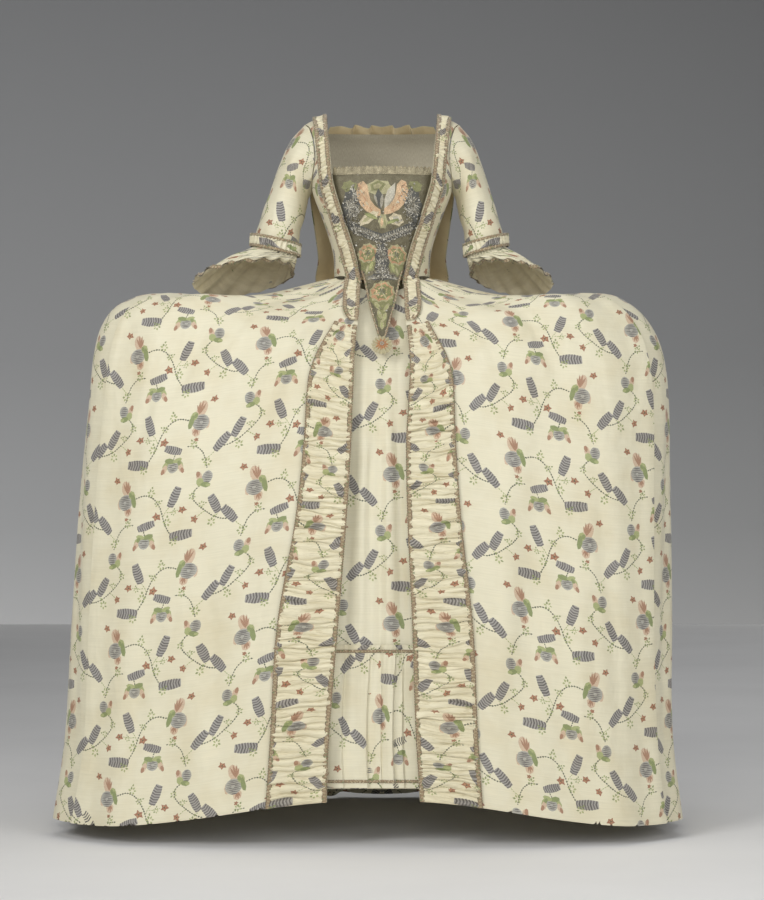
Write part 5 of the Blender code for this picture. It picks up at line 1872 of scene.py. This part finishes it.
def make_rosette():
    """A small rosette of two ruffled rounds of silk with a gathered middle."""
    low, high = (np.array(corner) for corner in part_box("stomacher_rosette"))
    centre = (low + high) / 2
    facing = np.array([0, -math.sin(math.radians(62)), math.cos(math.radians(62))])
    across = np.array([1.0, 0, 0])
    up = np.cross(facing, across)
    columns = 97
    angle = np.linspace(0, 2 * math.pi, columns)
    rows = []
    for layer, (reach, lift, ruffles, height) in enumerate(((0.0205, 0.000, 15, 0.0022),
                                                            (0.0125, 0.0028, 11, 0.0020))):
        for share in np.linspace(0, 1, 9):
            wave = np.sin(angle * ruffles + layer) * height * share
            radius = reach * (0.10 + 0.90 * share) * (1 + 0.05 * np.sin(angle * ruffles) * share)
            rise = lift + 0.0030 * math.sin(math.pi * min(1, share * 1.2)) - 0.0012 * share
            rows.append((layer, centre + across * (np.cos(angle) * radius)[:, None]
                         + up * (np.sin(angle) * radius)[:, None] + facing * (rise + wave)[:, None]))
    for layer in (0, 1):
        grid = np.array([row for index, row in rows if index == layer])
        flat = flat_map(grid) + (0.05, 0.05)
        name = f"stomacher_rosette_{'under' if layer == 0 else 'over'}"
        nodes = ("stomacher_rosette",) if layer == 0 else ()
        piece = cloth(name, grid, flat, 1, SILK, *nodes, tube=True, slot="silver_brocade",
                      tints={"ground": (0.470, 0.235, 0.110) if layer else (0.480, 0.430, 0.270)})
        declare(piece, flat)
    places = [(math.cos(turn) * 0.003, math.sin(turn) * 0.003) for turn in range(7)]
    vertices = []
    faces = []
    for x, y in places:
        start = len(vertices)
        middle = centre + across * x + up * y + facing * 0.0068
        for spoke in range(6):
            turn = spoke * math.pi / 3
            vertices.append((middle + (across * math.cos(turn) + up * math.sin(turn)) * 0.0016).tolist())
        vertices.append((middle + facing * 0.0014).tolist())
        faces += [[start + spoke, start + (spoke + 1) % 6, start + 6] for spoke in range(6)]
    mesh = bpy.data.meshes.new("stomacher_rosette_middle")
    mesh.from_pydata(vertices, [], faces)
    new_piece("stomacher_rosette_middle", mesh, METAL, slot="silver_brocade")


def make_bodice_back():
    grid, _ = dense(bodice_back_rows(), 0.008)
    flat = flat_map(grid)
    piece = cloth("bodice_back_linen", grid, flat, 1, LINEN, "bodice_back", slot="linen")
    declare(piece, flat)


# ---------------------------------------------------------------------------------------------------
# Studio
# ---------------------------------------------------------------------------------------------------
def plane(name, corners, material):
    mesh = bpy.data.meshes.new(name)
    mesh.from_pydata(corners, [], [(0, 1, 2, 3)])
    mesh.materials.append(material)
    obj = bpy.data.objects.new(name, mesh)
    bpy.context.scene.collection.objects.link(obj)
    return obj


def area_light(name, place, target, size, power, colour=(1, 1, 1)):
    data = bpy.data.lights.new(name, "AREA")
    data.shape = "RECTANGLE"
    data.size, data.size_y = size
    data.energy = power
    data.color = colour
    light = bpy.data.objects.new(name, data)
    light.location = place
    light.rotation_euler = (Vector(target) - Vector(place)).to_track_quat("-Z", "Y").to_euler()
    bpy.context.scene.collection.objects.link(light)


def make_studio():
    floor = -SHOULDER_HEIGHT
    plane("floor", [(-8, -7, floor), (8, -7, floor), (8, 6.2, floor), (-8, 6.2, floor)], floor_material())
    plane("backdrop", [(-8, 6.2, floor), (8, 6.2, floor), (8, 6.2, 4), (-8, 6.2, 4)], wall_material())
    area_light("key", (-2.8, -3.6, 1.6), (0, 0, -0.6), (1.8, 1.8), 96)
    area_light("fill", (3.0, -3.6, 0.6), (0, 0, -0.7), (2.4, 2.4), 52)
    area_light("front", (-0.3, -6.2, 0.4), (0, 0, -0.6), (3.2, 2.0), 82)
    area_light("top", (0, -0.8, 2.6), (0, 0, -0.7), (3.0, 2.0), 24)
    world = bpy.data.worlds.new("studio")
    world.use_nodes = True
    world.node_tree.nodes["Background"].inputs[0].default_value = (0.9, 0.92, 0.95, 1)
    world.node_tree.nodes["Background"].inputs[1].default_value = 0.32
    bpy.context.scene.world = world
    bpy.context.scene.view_settings.view_transform = "Standard"


def make_camera():
    data = bpy.data.cameras.new("camera")
    data.lens = 102.8
    data.sensor_width = 36
    camera = bpy.data.objects.new("camera", data)
    camera.location = (0, -5.3, 0.78 - SHOULDER_HEIGHT)
    camera.rotation_euler = (math.pi / 2, 0, 0)
    bpy.context.scene.collection.objects.link(camera)
    bpy.context.scene.camera = camera


make_camera()
make_bodice_back()
make_petticoat()
for side in (RIGHT, LEFT):
    make_side(side)
make_stomacher()
make_studio()
